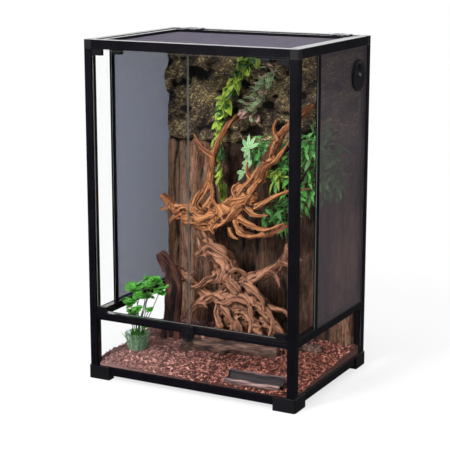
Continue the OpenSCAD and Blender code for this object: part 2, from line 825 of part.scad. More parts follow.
// Sweeps rings along a path; ring(t, i) gives an even number of points, t runs 0 to 1
module sweep(path, ring, ref = [0.1, 1, 0.05]) {
    n = len(path) - 1;
    m = len(ring(0, 0));
    points = [for (i = [0 : n])
        let (w = unit(path[min(i + 1, n)] - path[max(i - 1, 0)]),
             a = unit(cross(ref, w)), b = cross(w, a))
        for (q = ring(i / n, i)) path[i] + a * q.x + b * q.y];
    sides = [for (i = [0 : n - 1], k = [0 : m - 1])
        let (p = i * m + k, q = i * m + (k + 1) % m)
        each [[p, p + m, q + m], [p, q + m, q]]];
    caps = [for (k = [0 : m / 2 - 2])
        let (a = k, b = k + 1, c = m - 2 - k, d = m - 1 - k, e = n * m)
        each [[a, b, c], [a, c, d], [e + c, e + b, e + a], [e + d, e + c, e + a]]];
    polyhedron(points, concat(sides, caps));
}

// Round ring with uneven bark or worn grain
function knobbly(r, m, i, rough) =
    [for (k = [0 : m - 1])
        let (b = r * (1 + rough * sin(i * 97 + k * 151))) [b * cos(360 * k / m), b * sin(360 * k / m)]];

// Limb of driftwood along a route, from radius r0 to radius r1, ending in a blunt tip
module limb(route, r0, r1, m = 6, steps = 2) {
    path = smooth(route, steps);
    n = len(path) - 1;
    tip = path[n];
    sweep(path, function(t, i) knobbly(mix(r0, r1, t), m, i, 0.12));
    translate(tip) hull() sphere(r = r1 * 1.1, $fn = 5);
}

// Solid between a flat base and the surface f(x, y) over a rectangle
module relief(x0, x1, nx, y0, y1, ny, base, f) {
    row = nx + 1;
    grid = [for (j = [0 : ny], i = [0 : nx])
        let (x = mix(x0, x1, i / nx), y = mix(y0, y1, j / ny)) [x, y, f(x, y)]];
    edge = concat([for (i = [0 : nx - 1]) i], [for (j = [0 : ny - 1]) j * row + nx],
                  [for (i = [nx : -1 : 1]) ny * row + i], [for (j = [ny : -1 : 1]) j * row]);
    n = len(grid);
    m = len(edge);
    low = [for (e = edge) [grid[e].x, grid[e].y, base]];
    middle = [(x0 + x1) / 2, (y0 + y1) / 2, base];
    top = [for (j = [0 : ny - 1], i = [0 : nx - 1])
        let (a = j * row + i) each [[a, a + row, a + row + 1], [a, a + row + 1, a + 1]]];
    sides = [for (k = [0 : m - 1])
        let (a = edge[k], b = edge[(k + 1) % m], c = n + k, d = n + (k + 1) % m)
        each [[a, b, d], [a, d, c], [n + m, c, d]]];
    polyhedron(concat(grid, low, [middle]), concat(top, sides));
}

// ---------------------------------------------------------------- bedding and background

// Height of the bedding's surface, rising to the back and to the left
function bed_z(x, y) =
    bed_z0 + mix(bed_front, bed_back, pow((y + half_d) / frame_d, 0.8)) - 4 * x / half_w
    + 1.5 * sin(x * 2.1 + 40) * cos(y * 2.7) + 1.2 * sin(x * 5.3 + y * 3.9);

// Chip of bark on the bedding
module chip(x, y, turn, tip) {
    translate([x, y, bed_z(x, y) + 1]) rotate([tip, 12, turn])
        hull() cylinder(r1 = 13, r2 = 8, h = 4, $fn = 5);
}

glass_face_x = half_w - glass_in - glass_t - seat_gap;
glass_face_y = half_d - glass_in - glass_t - seat_gap;

module bedding_room() {
    translate([-in_x + seat_gap, -in_y + seat_gap, bed_z0])
        cube([2 * (in_x - seat_gap), 2 * (in_y - seat_gap), mid_z]);
    translate([-glass_face_x, -in_y + seat_gap, bottom_top + seat_gap])
        cube([2 * glass_face_x, 2 * (in_y - seat_gap), mid_z - bottom_top - 2 * seat_gap]);
    translate([-in_x + seat_gap, -glass_face_y, bottom_top + seat_gap])
        cube([2 * (in_x - seat_gap), 2 * glass_face_y, mid_z - bottom_top - 2 * seat_gap]);
}

module substrate() {
    color("#8a3f22") difference() {
        intersection() {
            bedding_room();
            union() {
                relief(-half_w, half_w, 20, -half_d, half_d, 14, bed_z0 - cut,
                       function(x, y) bed_z(x, y));
                for (i = [0 : 8])
                    chip(-230 + i * 36, -150 + 50 * sin(i * 77), i * 67, 8 * sin(i * 50));
            }
        }
        bark_background();
        driftwood_lower();
        bark_slab();
        floor_wood();
        half_log();
        cup_outside(glass_gap);
    }
}

bark_low = 46;
bark_split = 602;
bark_drop = 6;                  // from the top rails down to its top edge
bark_x = port_ring_x - seat_gap;  // clear of the ring behind the port

// Thickness of the background: vertical ridges below, hollows and bulges of rock above
function bark_relief(x, z) =
    bark_t + (z < bark_split * frame_h / drawn.z
        ? 6 * sin(x * 3.1 + 8 * sin(z * 0.9)) + 3 * sin(x * 8.3 + 30)
        : 8 + 9 * sin(x * 1.7 + z * 0.8) * cos(z * 2.1 - x * 0.6) + 4 * sin(x * 4.4 - z * 3.3));

module bark_background() {
    top = top_z - bark_drop;
    color(BARK) intersection() {
        union() {
            translate([0, glass_face_y, 0]) rotate([90, 0, 0])
                relief(-half_w, half_w, 26, bark_low, top, 30, 0,
                       function(x, z) bark_relief(x, z) - (z > top - 30 ? 6 * (1 + sin(x * 5)) : 0));
            for (i = [0 : 8])
                rock_lump([-250 + i * 62, 0, 640 + 110 * (1 + sin(i * 100)) * 0.9], 20 + 6 * sin(i * 130));
        }
        union() {
            translate([-in_x + seat_gap, 0, bark_low])
                cube([2 * (in_x - seat_gap), half_d, top - bark_low]);
            translate([-bark_x, 0, mid_top + seat_gap])
                cube([2 * bark_x, in_y - seat_gap, top - mid_top - seat_gap]);
        }
        translate([-half_w, 0, bark_low]) cube([frame_w, glass_face_y, top - bark_low]);
    }
}

// Rounded boss of rock on the background
module rock_lump(p, r) {
    q = hung_at(p);
    face = glass_face_y - bark_relief(q.x, q.z);
    translate([q.x, face + r * 0.35, q.z]) hull() {
        sphere(r = r, $fn = 6);
        translate([r * 0.5, 4, -r * 0.4]) sphere(r = r * 0.8, $fn = 5);
    }
}

// ---------------------------------------------------------------- wood

module driftwood_upper() {
    color(WOOD) difference() {
        union() {
            limb(hung([[-70, 52, 420], [-100, 50, 410], [-155, 50, 410], [-195, 45, 430],
                       [-235, 40, 465]]), 17, 7);
            limb(hung([[-165, 50, 410], [-100, 45, 405], [-45, 55, 435], [5, 60, 455]]), 15, 20, 8);
            limb(hung([[-120, 50, 415], [-135, 50, 445], [-110, 60, 485], [-95, 70, 520],
                       [-95, 85, 575], [-80, 100, 630], [-45, 110, 680], [-70, 205, 665]]), 12, 7);
            limb(hung([[-45, 55, 435], [5, 60, 475], [45, 65, 525], [75, 70, 570], [105, 80, 640],
                       [140, 90, 685], [165, 205, 730]]), 20, 9, 8);
            limb(hung([[20, 58, 460], [50, 55, 455], [95, 45, 480], [155, 30, 510],
                       [235, 10, 530]]), 10, 3);
            limb(hung([[5, 55, 440], [5, 40, 400], [35, 30, 380], [105, 25, 390],
                       [160, 30, 420]]), 11, 4);
            limb(hung([[75, 70, 570], [110, 60, 590], [150, 55, 640]]), 9, 4);
            limb(hung([[-95, 85, 575], [-130, 80, 600], [-150, 70, 640]]), 7, 3);
        }
        bark_background();
    }
}

module driftwood_lower() {
    color(WOOD) standing() {
        limb([[0, 95, 26], [0, 95, 125], [-20, 85, 180], [-40, 80, 245], [-65, 80, 295],
              [-115, 85, 320], [-130, 90, 365]], 22, 9, 8);
        limb([[-85, 80, 305], [-110, 80, 310], [-140, 65, 295]], 10, 5);
        limb([[-30, 80, 200], [-95, 75, 175], [-130, 70, 200], [-160, 60, 230], [-190, 55, 250],
              [-245, 60, 245]], 14, 4);
        limb([[-160, 60, 228], [-180, 60, 245], [-220, 50, 215]], 7, 3);
        limb([[-30, 78, 225], [-10, 75, 230], [55, 65, 260], [110, 60, 290], [140, 60, 330],
              [145, 60, 360]], 15, 5);
        limb([[-40, 78, 200], [-75, 75, 185], [-125, 60, 160], [-155, 55, 125], [-158, 48, 35]],
             12, 5);
        limb([[-35, 80, 195], [-50, 75, 180], [-65, 55, 140], [-50, 45, 100], [-48, 40, 35]], 11, 5);
        limb([[-25, 75, 175], [-20, 50, 140], [15, 35, 100], [18, 28, 35]], 10, 5);
        limb([[-15, 80, 180], [0, 75, 175], [40, 50, 140], [72, 44, 100], [84, 42, 35]], 12, 5);
        limb([[-10, 80, 205], [15, 80, 200], [75, 60, 160], [132, 52, 110], [156, 50, 35]], 12, 5);
        limb([[0, 80, 225], [25, 85, 215], [90, 70, 175], [150, 62, 160], [185, 60, 35]], 10, 4);
    }
}

// Standing slab of bark, curved across and leaning to the left
module bark_slab() {
    width = 54;
    thick = 13;
    path = smooth([[-200, 20, 28], [-192, 24, 120], [-182, 30, 215], [-200, 26, 268],
                   [-232, 18, 305]], 2);
    half = 2;
    color(BARK) standing() {
        sweep(path, ref = [0, 1, 0], ring = function(t, i)
            let (w = width * (0.9 + 0.12 * sin(i * 67)) * (t > 0.9 ? 0.72 : 1))
            concat([for (k = [-half : half])
                        [w * k / (2 * half),
                         -thick / 2 - 5 * pow(k / half, 2) + 1.5 * sin(k * 140 + i * 50)]],
                   [for (k = [half : -1 : -half])
                        [w * k / (2 * half), thick / 2 - 5 * pow(k / half, 2)]]));
        for (k = [0 : 7])
            translate(path[k] + [6 * sin(k * 80), -thick / 2, 12])
                hull() sphere(r = 6, $fn = 5);
    }
}

// Log that lies on the bedding behind the trough, with a knot, and a grey chunk beside it
module floor_wood() {
    a = [-130, -30 + back_shift];
    b = [140, 20 + back_shift];
    chunk = [205, 92 + back_shift];
    path = [for (t = [0 : 0.125 : 1])
        let (x = mix(a.x, b.x, t), y = mix(a.y, b.y, t)) [x, y, bed_z(x, y) + log_r * 0.55]];
    color(BARK) {
        sweep(path, function(t, i) knobbly(log_r * (1 - 0.25 * t), 8, i, 0.1));
        for (k = [0 : 4])
            translate(path[k + 2] + [0, -log_r * 0.5, log_r * 0.5]) hull() sphere(r = 8, $fn = 5);
        translate([chunk.x, chunk.y, bed_z(chunk.x, chunk.y) + 12]) for (k = [0 : 3])
            hull() {
                translate([-26 + 14 * k, 0, 3 * sin(k * 90)]) sphere(r = 16, $fn = 5);
                translate([-18 + 14 * k, 4, -8]) sphere(r = 14, $fn = 4);
            }
    }
}

// Half log laid hollow side up as a trough
module half_log() {
    wall_t = 7;
    arc = 4;
    length = 152;
    from_right = 35;
    from_front = 12.5;
    x1 = in_x - from_right;
    path = [for (t = [0 : 0.125 : 1])
        let (x = x1 - length * (1 - t), y = -in_y + from_front + 6 * (1 - t))
        [x, y, bed_z(x, y) + trough_r - 4]];
    color(BARK) sweep(path, ref = [0, 1, 0], ring = function(t, i)
        let (r = trough_r * (1 + 0.05 * sin(i * 110)))
        concat([for (k = [-arc : arc]) let (a = 92 * k / arc, q = r * (1 + 0.03 * sin(k * 160 + i * 60)))
                    [q * cos(a), q * sin(a)]],
               [for (k = [arc : -1 : -arc]) let (a = 92 * k / arc)
                    [(r - wall_t) * cos(a), (r - wall_t) * sin(a)]]));
}

// ---------------------------------------------------------------- plants

cup_x = -in_x + 43;
cup_y = -in_y + 116.5;
cup_h = 46;
cup_wall = 2;
cup_base = bed_z(cup_x, cup_y) - 8;

module cup_outside(gap = 0) {
    translate([cup_x, cup_y, cup_base])
        cylinder(r1 = cup_r * 0.82 + gap, r2 = cup_r + gap, h = cup_h, $fn = 48);
}

module plant_cup() {
    color(GLASS) difference() {
        cup_outside();
        translate([cup_x, cup_y, cup_base + cup_wall])
            cylinder(r1 = cup_r * 0.82 - cup_wall, r2 = cup_r - cup_wall, h = cup_h, $fn = 48);
    }
}

// Thin stem along a route
module stem(route, r) {
    sweep(smooth(route, 2), function(t, i) knobbly(r, 4, i, 0));
}

// Leaf blade: the closed hull of a few points, drawn along x from its base at the given point
module blade(p, turn, lift, points) {
    translate(p) rotate([0, -lift, turn])
        hull() polyhedron(points, [[for (k = [0 : len(points) - 1]) k]]);
}

// Rounded leaf, cupped a little
module round_leaf(p, turn, lift, r) {
    blade(p, turn, lift, concat([[r * 0.9, 0, -2]],
        [for (k = [0 : 5]) [r * 0.9 + r * cos(k * 60 + 30), r * sin(k * 60 + 30), 0.4]]));
}

// Heart-shaped leaf
module heart_leaf(p, turn, lift, r) {
    blade(p, turn, lift, [[-0.5, 0, 0], [r * 0.4, r * 0.8, 0.4], [r * 0.4, -r * 0.8, 0.4],
                          [r * 1.1, r * 0.6, 0], [r * 1.1, -r * 0.6, 0], [r * 2.1, 0, -2],
                          [r * 0.7, 0, -1.6]]);
}

// Long finger-like leaf
module finger(p, turn, lift, l) {
    blade(p, turn, lift, [[-0.5, 0, 0], [l * 0.55, l * 0.12, 0.6], [l * 0.55, -l * 0.12, 0.6],
                          [l, 0, -2], [l * 0.5, 0, -1.2]]);
}

// Plant with round leaves in the cup: each stem carries a cluster
module round_leaf_plant() {
    soil = 18;
    base = [cup_x, cup_y, cup_base + cup_wall + seat_gap];
    tips = [[0, -10, 180], [62, -10, 213], [-6, -22, 141], [34, -22, 83], [-22, 12, 105],
            [25, 20, 160]];
    color(GREEN) {
        translate(base) cylinder(r = cup_r * 0.82 - cup_wall - seat_gap, h = soil, $fn = 10);
        for (k = [0 : len(tips) - 1]) {
            tip = tips[k] + [cup_x, cup_y, cup_base];
            low = base + [6 * cos(k * 60), 6 * sin(k * 60), soil - 2];
            stem([low, mix(low, tip, 0.5) + [4 * sin(k * 90), 0, 8], tip], 1.4);
            for (j = [0 : 3])
                round_leaf(tip - [0, 0, 5 * j], 90 * j + 40 * k, 20 + 12 * j, 15 - j);
        }
    }
}

// Vine rooted in the background that hangs down in front of it
module pothos_vine() {
    route = [[-20, 190, 850], [-30, 150, 832], [-75, 142, 745], [-104, 140, 671],
             [-108, 140, 570], [-95, 140, 457]];
    path = smooth(hung(route), 3);
    color(GREEN) difference() {
        union() {
            sweep(path, function(t, i) knobbly(1.6, 4, i, 0));
            for (k = [2 : len(path) - 1])
                heart_leaf(path[k], 250 + 90 * sin(k * 137), -35 + 20 * sin(k * 71), 9 + 2 * sin(k * 53));
        }
        bark_background();
    }
}

module finger_leaf_plant() {
    tips = [[25, 62, 614], [20, 76, 552], [150, 95, 455], [180, 130, 600], [240, 122, 520]];
    color("#9fb86a") difference() {
        for (k = [0 : len(tips) - 1]) {
            tip = hung_at(tips[k]);
            root = tip + [20, 0, 25];
            root_y = glass_face_y - 12;
            stem([[root.x, root_y, root.z], mix([root.x, root_y, root.z], tip, 0.5) + [0, 0, 14], tip],
                 1.5);
            for (j = [-2.5 : 2.5]) finger(tip, 270 + 40 * j, -15 - 4 * abs(j), 28 - 3 * abs(j));
        }
        bark_background();
    }
}

module variegated_plant() {
    color("#7d9a5c") difference() {
        for (k = [0 : 4]) {
            root = hung_at([-15 + 14 * k, 205, 690 + 16 * k]);
            tip = hung_at([-20 + 16 * k, 142, 680 + 26 * k]);
            stem([root, tip], 1.3);
            for (j = [0 : 3])
                round_leaf(mix(root, tip, 0.64 + 0.12 * j), 90 * j + 30 * k, 25 + 10 * j, 8);
        }
        bark_background();
    }
}

// ---------------------------------------------------------------- nodes

post(-1, -1);  // post_fl
post(1, -1);  // post_fr
post(-1, 1);  // post_bl
post(1, 1);  // post_br
top_rail_front();
top_rail_back();
top_rail_side(-1);  // top_rail_left
top_rail_side(1);  // top_rail_right
mid_rail_front();
mid_rail_side(-1);  // mid_rail_left
mid_rail_side(1);  // mid_rail_right
bottom_rail_x(-1);  // bottom_rail_front
bottom_rail_x(1);  // bottom_rail_back
bottom_rail_y(-1);  // bottom_rail_left
bottom_rail_y(1);  // bottom_rail_right
top_corner_caps();
foot(-1, -1);  // foot_fl
foot(1, -1);  // foot_fr
foot(-1, 1);  // foot_bl
foot(1, 1);  // foot_br
floor_panel();
lower_glass_front();
lower_glass_side(-1);  // lower_glass_left
lower_glass_side(1);  // lower_glass_right
back_glass();
side_glass(-1);  // side_glass_left
side_glass(1);  // side_glass_right
mullion(-1);  // mullion_left
mullion(1);  // mullion_right
side_screen(-1);  // side_screen_left
side_screen(1);  // side_screen_right
port_base();
port_shutter();
port_screw();
lid_brackets();
hinge_bushes();
latch_boss();
latch_lever();
latch_screw();
lid_frame();
lid_mesh();
lid_pins();
lid_lock(-1);  // lid_lock_left
lid_lock(1);  // lid_lock_right
door_glass(-1);  // door_glass_left
door_glass(1);  // door_glass_right
door_hinges(-1);  // door_hinges_left
door_hinges(1);  // door_hinges_right
substrate();
bark_background();
driftwood_upper();
driftwood_lower();
bark_slab();
floor_wood();
half_log();
plant_cup();
round_leaf_plant();
pothos_vine();
finger_leaf_plant();
variegated_plant();
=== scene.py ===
"""Front-opening reptile terrarium, dressed with its finishes, wire cloth, bedding, wood and plants."""

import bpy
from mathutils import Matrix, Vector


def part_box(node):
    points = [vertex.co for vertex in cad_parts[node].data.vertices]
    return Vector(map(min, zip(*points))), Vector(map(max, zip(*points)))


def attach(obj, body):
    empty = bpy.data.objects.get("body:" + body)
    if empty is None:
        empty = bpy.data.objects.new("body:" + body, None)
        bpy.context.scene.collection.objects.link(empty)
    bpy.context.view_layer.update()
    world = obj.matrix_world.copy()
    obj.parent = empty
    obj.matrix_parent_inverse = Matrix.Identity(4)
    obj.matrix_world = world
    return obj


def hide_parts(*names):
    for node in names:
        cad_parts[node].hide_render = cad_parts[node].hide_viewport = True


bl_info = {
    "name": "Reptile Terrarium",
    "version": (1, 0, 0),
    "blender": (4, 5, 0),
    "location": "View3D > Sidebar > Terrarium",
    "description": "Builds the finishes and furnishings of a front-opening reptile terrarium",
    "category": "Object",
}

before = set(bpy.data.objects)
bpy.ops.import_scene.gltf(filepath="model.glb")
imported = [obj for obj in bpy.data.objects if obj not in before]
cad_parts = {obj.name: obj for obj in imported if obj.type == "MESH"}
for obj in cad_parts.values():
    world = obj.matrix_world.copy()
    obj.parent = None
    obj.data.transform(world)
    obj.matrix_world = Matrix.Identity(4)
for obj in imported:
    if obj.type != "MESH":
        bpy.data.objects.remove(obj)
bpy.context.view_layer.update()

import math
import random

import bpy
import numpy as np
from bpy.props import FloatProperty, FloatVectorProperty, IntProperty, PointerProperty
from mathutils import Matrix, Vector, kdtree, noise

MM = 0.001
FINE_RELIEF = 0.00003     # depth of orange peel, turning marks and dust, in metres
EASED_EDGE = 0.0009       # radius by which the edges of mouldings look rounded, in metres
GLASS_RIM = 0.0001        # depth of the ground edge of a pane, in metres


# ------------------------------------------------------------------ finishes

class Num:
    """A number socket of a finish; maths on it adds Math nodes."""

    def __init__(self, finish, socket):
        self.finish = finish
        self.socket = socket

    def __add__(self, other):
        return self.finish.math("ADD", self, other)

    def __sub__(self, other):
        return self.finish.math("SUBTRACT", self, other)

    def __rsub__(self, other):
        return self.finish.math("SUBTRACT", other, self)

    def __mul__(self, other):
        return self.finish.math("MULTIPLY", self, other)

    def __pow__(self, other):
        return self.finish.math("POWER", self, other)

    def __gt__(self, other):
        return self.finish.math("GREATER_THAN", self, other)

    def __lt__(self, other):
        return self.finish.math("LESS_THAN", self, other)

    def __abs__(self):
        return self.finish.math("ABSOLUTE", self)

    __radd__ = __add__
    __rmul__ = __mul__


class Finish:
    """A node tree under construction, for a material or the world."""

    def __init__(self, name, owner=None):
        self.owner = owner or bpy.data.materials.new(name)
        self.owner.use_nodes = True
        self.tree = self.owner.node_tree
        self.tree.nodes.clear()

    def node(self, kind, settings=None, sockets=None):
        made = self.tree.nodes.new(kind)
        for key, value in (settings or {}).items():
            if key == "stops":
                elements = made.color_ramp.elements
                while len(elements) < len(value):
                    elements.new(0.5)
                for element, (place, colour) in zip(elements, value):
                    element.position = place
                    element.color = (*colour, 1)
            else:
                setattr(made, key, value)
        for key, value in (sockets or {}).items():
            if isinstance(value, Num):
                value = value.socket
            if isinstance(value, bpy.types.NodeSocket):
                self.tree.links.new(value, made.inputs[key])
            elif made.inputs[key].type == "RGBA" and len(value) == 3:
                made.inputs[key].default_value = (*value, 1)
            else:
                made.inputs[key].default_value = value
        return made

    def math(self, operation, a, b=0.0):
        return Num(self, self.node("ShaderNodeMath", {"operation": operation}, {0: a, 1: b}).outputs[0])

    def highest(self, a, b):
        return self.math("MAXIMUM", a, b)

    def place(self):
        return self.node("ShaderNodeTexCoord").outputs["Object"]

    def stretched(self, vector, scale):
        return self.node("ShaderNodeVectorMath", {"operation": "MULTIPLY"}, {0: vector, 1: scale}).outputs[0]

    def axes(self, vector):
        split = self.node("ShaderNodeSeparateXYZ", None, {0: vector})
        return [Num(self, socket) for socket in split.outputs]

    def mark(self, name):
        """A number or a place stored on the mesh's points."""
        made = self.node("ShaderNodeAttribute", {"attribute_name": name})
        return Num(self, made.outputs["Fac"]), made.outputs["Vector"]

    def mottle(self, vector, scale, detail=3.0, rough=0.5, distortion=0.0):
        made = self.node("ShaderNodeTexNoise", None,
                         {"Vector": vector, "Scale": scale, "Detail": detail, "Roughness": rough,
                          "Distortion": distortion})
        return Num(self, made.outputs[0])

    def grade(self, value, low, high, to_low=0.0, to_high=1.0):
        made = self.node("ShaderNodeMapRange", None,
                         {0: value, 1: low, 2: high, 3: to_low, 4: to_high})
        return Num(self, made.outputs[0])

    def ramp(self, value, stops):
        return self.node("ShaderNodeValToRGB", {"stops": stops}, {0: value}).outputs[0]

    def mixed(self, share, a, b, blend="MIX"):
        made = self.node("ShaderNodeMix", {"data_type": "RGBA", "blend_type": blend},
                         {0: share, 6: a, 7: b})
        return made.outputs[2]

    def bump(self, height, depth, strength=1.0, eased=0.0):
        """Relief on the surface; eased is the radius by which its sharp edges look rounded, in metres."""
        made = self.node("ShaderNodeBump", None,
                         {"Strength": strength, "Distance": depth, "Height": height})
        if eased:
            edge = self.node("ShaderNodeBevel", {"samples": 4}, {"Radius": eased})
            self.tree.links.new(edge.outputs[0], made.inputs["Normal"])
        return made.outputs[0]

    def surface(self, **values):
        names = {"colour": "Base Color", "roughness": "Roughness", "metallic": "Metallic",
                 "specular": "Specular IOR Level", "normal": "Normal"}
        return self.node("ShaderNodeBsdfPrincipled", None,
                         {names[key]: value for key, value in values.items()}).outputs[0]

    def see_through(self, colour):
        return self.node("ShaderNodeBsdfTransparent", None, {"Color": colour}).outputs[0]

    def glow(self, strength):
        return self.node("ShaderNodeEmission", None, {"Color": (1, 1, 1), "Strength": strength}).outputs[0]

    def blend(self, share, a, b):
        return self.node("ShaderNodeMixShader", None, {0: share, 1: a, 2: b}).outputs[0]

    def facing(self):
        return Num(self, self.node("ShaderNodeLayerWeight", None, {"Blend": 0.5}).outputs["Facing"])

    def rays(self):
        """1 for rays seen straight or through glass, and 1 for mirrored rays."""
        path = self.node("ShaderNodeLightPath").outputs
        seen = self.highest(Num(self, path["Is Camera Ray"]), Num(self, path["Is Transmission Ray"]))
        return seen, Num(self, path["Is Glossy Ray"])

    def shown(self, shader):
        kind = "World" if isinstance(self.owner, bpy.types.World) else "Material"
        self.node("ShaderNodeOutput" + kind, None, {"Surface": shader})
        return self.owner


def scaled(colour, share):
    return tuple(min(1, share * c) for c in colour)


def moulded_plastic(name, colour, roughness, specular=0.4):
    """Satin moulded plastic or powder coat, with a fine orange peel and faint handling marks."""
    f = Finish(name)
    at = f.place()
    marks = f.mottle(at, 14, 4, 0.6)
    peel = f.mottle(at, 900, 2, 0.5)
    return f.shown(f.surface(colour=f.mixed(f.grade(marks, 0.35, 0.75), colour, scaled(colour, 1.8)),
                             roughness=f.grade(marks, 0.3, 0.7, roughness - 0.02, roughness + 0.03),
                             specular=specular, normal=f.bump(peel, FINE_RELIEF, 0.4, EASED_EDGE)))


def turned_steel(name, colour):
    """Bright steel with fine turning marks."""
    f = Finish(name)
    at = f.place()
    brushing = f.mottle(f.stretched(at, (900, 120, 900)), 1, 2, 0.5)
    return f.shown(f.surface(colour=f.mixed(f.grade(brushing, 0.3, 0.7), colour, scaled(colour, 0.8)),
                             metallic=1.0, roughness=f.grade(brushing, 0.2, 0.8, 0.22, 0.4),
                             normal=f.bump(brushing, FINE_RELIEF, 0.4)))


def pane(name, node, settings):
    """Clear float glass with a pale ground edge round the whole of its outline."""
    f = Finish(name)
    low, high = (np.array(corner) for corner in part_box(node))
    size = high - low
    thin = int(np.argmin(size))
    rim = None
    for axis, place in enumerate(f.axes(f.place())):
        if axis != thin:
            out = abs(place - float((low + high)[axis] / 2)) - float(size[axis] / 2 - GLASS_RIM)
            rim = out if rim is None else f.highest(rim, out)
    edge = rim > 0.0
    shine = f.node("ShaderNodeBsdfGlossy", None, {"Color": (1, 1, 1), "Roughness": 0.02}).outputs[0]
    mirror = f.facing() ** 5 * 0.96 + 0.04
    clear = f.blend(mirror * settings.glass_mirror, f.see_through(settings.glass_tint), shine)
    return f.shown(f.blend(edge, clear, f.surface(colour=settings.glass_edge, roughness=0.35)))


def woven_wire(name, colour):
    """Powder-coated wire, a little dusty."""
    f = Finish(name)
    dust = f.mottle(f.place(), 30, 3, 0.6)
    return f.shown(f.surface(colour=f.mixed(f.grade(dust, 0.35, 0.75), colour, scaled(colour, 1.35)),
                             roughness=f.grade(dust, 0.3, 0.7, 0.5, 0.65), specular=0.2,
                             normal=f.bump(f.mottle(f.place(), 1600, 1, 0.5), FINE_RELIEF, 0.4)))


def chip_bark(name, dark, warm, pale):
    """Shredded bark bedding: each chip has its own tone, stored on its points."""
    f = Finish(name)
    at = f.place()
    tone, _ = f.mark("tone")
    fibre = f.mottle(at, 420, 3, 0.65)
    patch = f.mottle(at, 9, 2, 0.5)
    side = f.axes(at)[0]
    shade = tone * 0.85 + fibre * 0.4 - 0.16
    toned = f.ramp(shade, [(0.05, dark), (0.45, warm), (0.78, pale), (1.0, scaled(pale, 1.25))])
    pink_at_left = f.grade(side, -0.28, 0.0, 0.3, 0.0)
    orange_at_right = f.grade(side, -0.1, 0.3) * patch
    body = f.mixed(pink_at_left, toned, (0.55, 0.34, 0.33))
    orange = f.mixed(orange_at_right, (1, 1, 1), (1.0, 0.62, 0.42))
    return f.shown(f.surface(colour=f.mixed(1.0, body, orange, "MULTIPLY"),
                             roughness=f.grade(fibre, 0.3, 0.7, 0.62, 0.9),
                             normal=f.bump(fibre, 0.0006, 0.9)))


def cork_rock(name, dark, brown, ochre, split):
    """Cork background: granular rock above the split, fibrous bark below it, with painted shade in its
    hollows and behind the driftwood.
    """
    f = Finish(name)
    at = f.place()
    hollow, _ = f.mark("hollow")
    wander = f.mottle(at, 12, 3, 0.5)
    side, _, up = f.axes(at)
    height = up + wander * 0.04 - 0.02
    rock = height > split
    straw = None
    for turn in (-0.5, 0.15, 0.9):
        turned = f.node("ShaderNodeVectorRotate", {"rotation_type": "Y_AXIS"}, {"Vector": at, "Angle": turn})
        strands = f.mottle(f.stretched(turned.outputs[0], (70, 120, 250)), 1, 2, 0.6, 0.9)
        straw = strands if straw is None else f.highest(straw, strands)
    grain = f.mottle(at, 300, 3, 0.7)
    blotch = f.mottle(at, 17, 4, 0.65)
    ground = f.ramp(blotch * 0.8 + grain * 0.6 - 0.22,
                    [(0.36, dark), (0.5, brown), (0.7, scaled(ochre, 0.5))])
    laid = f.grade(straw, 0.59, 0.67) * f.grade(blotch, 0.4, 0.56, 0.2, 1.0)
    speckled = f.mixed(laid, ground, f.mixed(f.grade(grain, 0.35, 0.65), ochre, scaled(ochre, 2.1)))
    streaks = f.mottle(f.stretched(at, (210, 210, 18)), 1, 5, 0.75, 1.0)
    column = f.mottle(f.stretched(at, (26, 26, 3)), 1, 3, 0.6)
    lit_edge = f.grade(side, -0.225, -0.195, 0.1, 0.0)
    fibrous = f.ramp(streaks * 0.9 + column * 0.7 + grain * 0.3 + lit_edge - 0.47,
                     [(0.3, (0.012, 0.006, 0.005)), (0.42, (0.07, 0.028, 0.016)),
                      (0.55, (0.21, 0.1, 0.06)), (0.74, (0.46, 0.27, 0.17))])
    greyed = f.mixed(f.grade(blotch, 0.52, 0.68, 0, 0.6), fibrous, (0.24, 0.18, 0.13))
    # Painted shadow: below the split, the bark behind the driftwood is darkened towards near black.
    deep = f.grade(side + wander * 0.1, -0.17, -0.02, 0.0, 0.62) * f.grade(side, 0.2, 0.26, 1.0, 0.0)
    below = f.mixed(deep, greyed, (0.008, 0.005, 0.004))
    body = f.mixed(rock, below, speckled)
    rock_lines = straw * 0.7 + grain * 0.3
    bark_lines = f.mottle(f.stretched(at, (120, 120, 15)), 1, 5, 0.7)
    lines = bark_lines + (rock_lines - bark_lines) * rock
    # Painted shade: the colour turns near black where the relief is sunk below its surroundings.
    recess_shading = f.mixed(f.grade(hollow, 0.1, 0.75, 0, 0.97), body, (0.003, 0.0025, 0.003))
    return f.shown(f.surface(colour=recess_shading, roughness=f.grade(grain, 0.3, 0.7, 0.72, 0.95), specular=0.2,
                             normal=f.bump(lines, 0.005)))


def weathered_wood(name, dark, warm, pale, along=0.05):
    """Driftwood with long grain that follows each limb, by places stored on its points, and painted shade in
    its creases.
    """
    f = Finish(name)
    _, grain_at = f.mark("grain_at")
    hollow, _ = f.mark("hollow")
    at = f.place()
    grain = f.mottle(f.stretched(grain_at, (1, 1, along)), 190, 4, 0.7, 0.5)
    broad = f.mottle(f.stretched(grain_at, (1, 1, along * 1.6)), 62, 3, 0.6, 0.3)
    patch = f.mottle(at, 16, 4, 0.6)
    shade = grain * 0.95 + broad * 0.6 + patch * 0.3 - 0.42
    body = f.ramp(shade, [(0.37, dark), (0.48, warm), (0.62, pale), (0.8, scaled(pale, 1.35))])
    worn = f.mixed(f.grade(patch, 0.5, 0.75, 0, 0.5), body, scaled(warm, 0.65))
    # Painted shade: the wood turns darker in its creases and cracks.
    recess_shading = f.mixed(f.grade(hollow, 0.15, 0.8, 0, 0.95), worn, scaled(dark, 0.22))
    return f.shown(f.surface(colour=recess_shading, roughness=f.grade(grain, 0.25, 0.75, 0.55, 0.85), specular=0.22,
                             normal=f.bump(grain * 0.8 + broad * 0.6, 0.0026)))


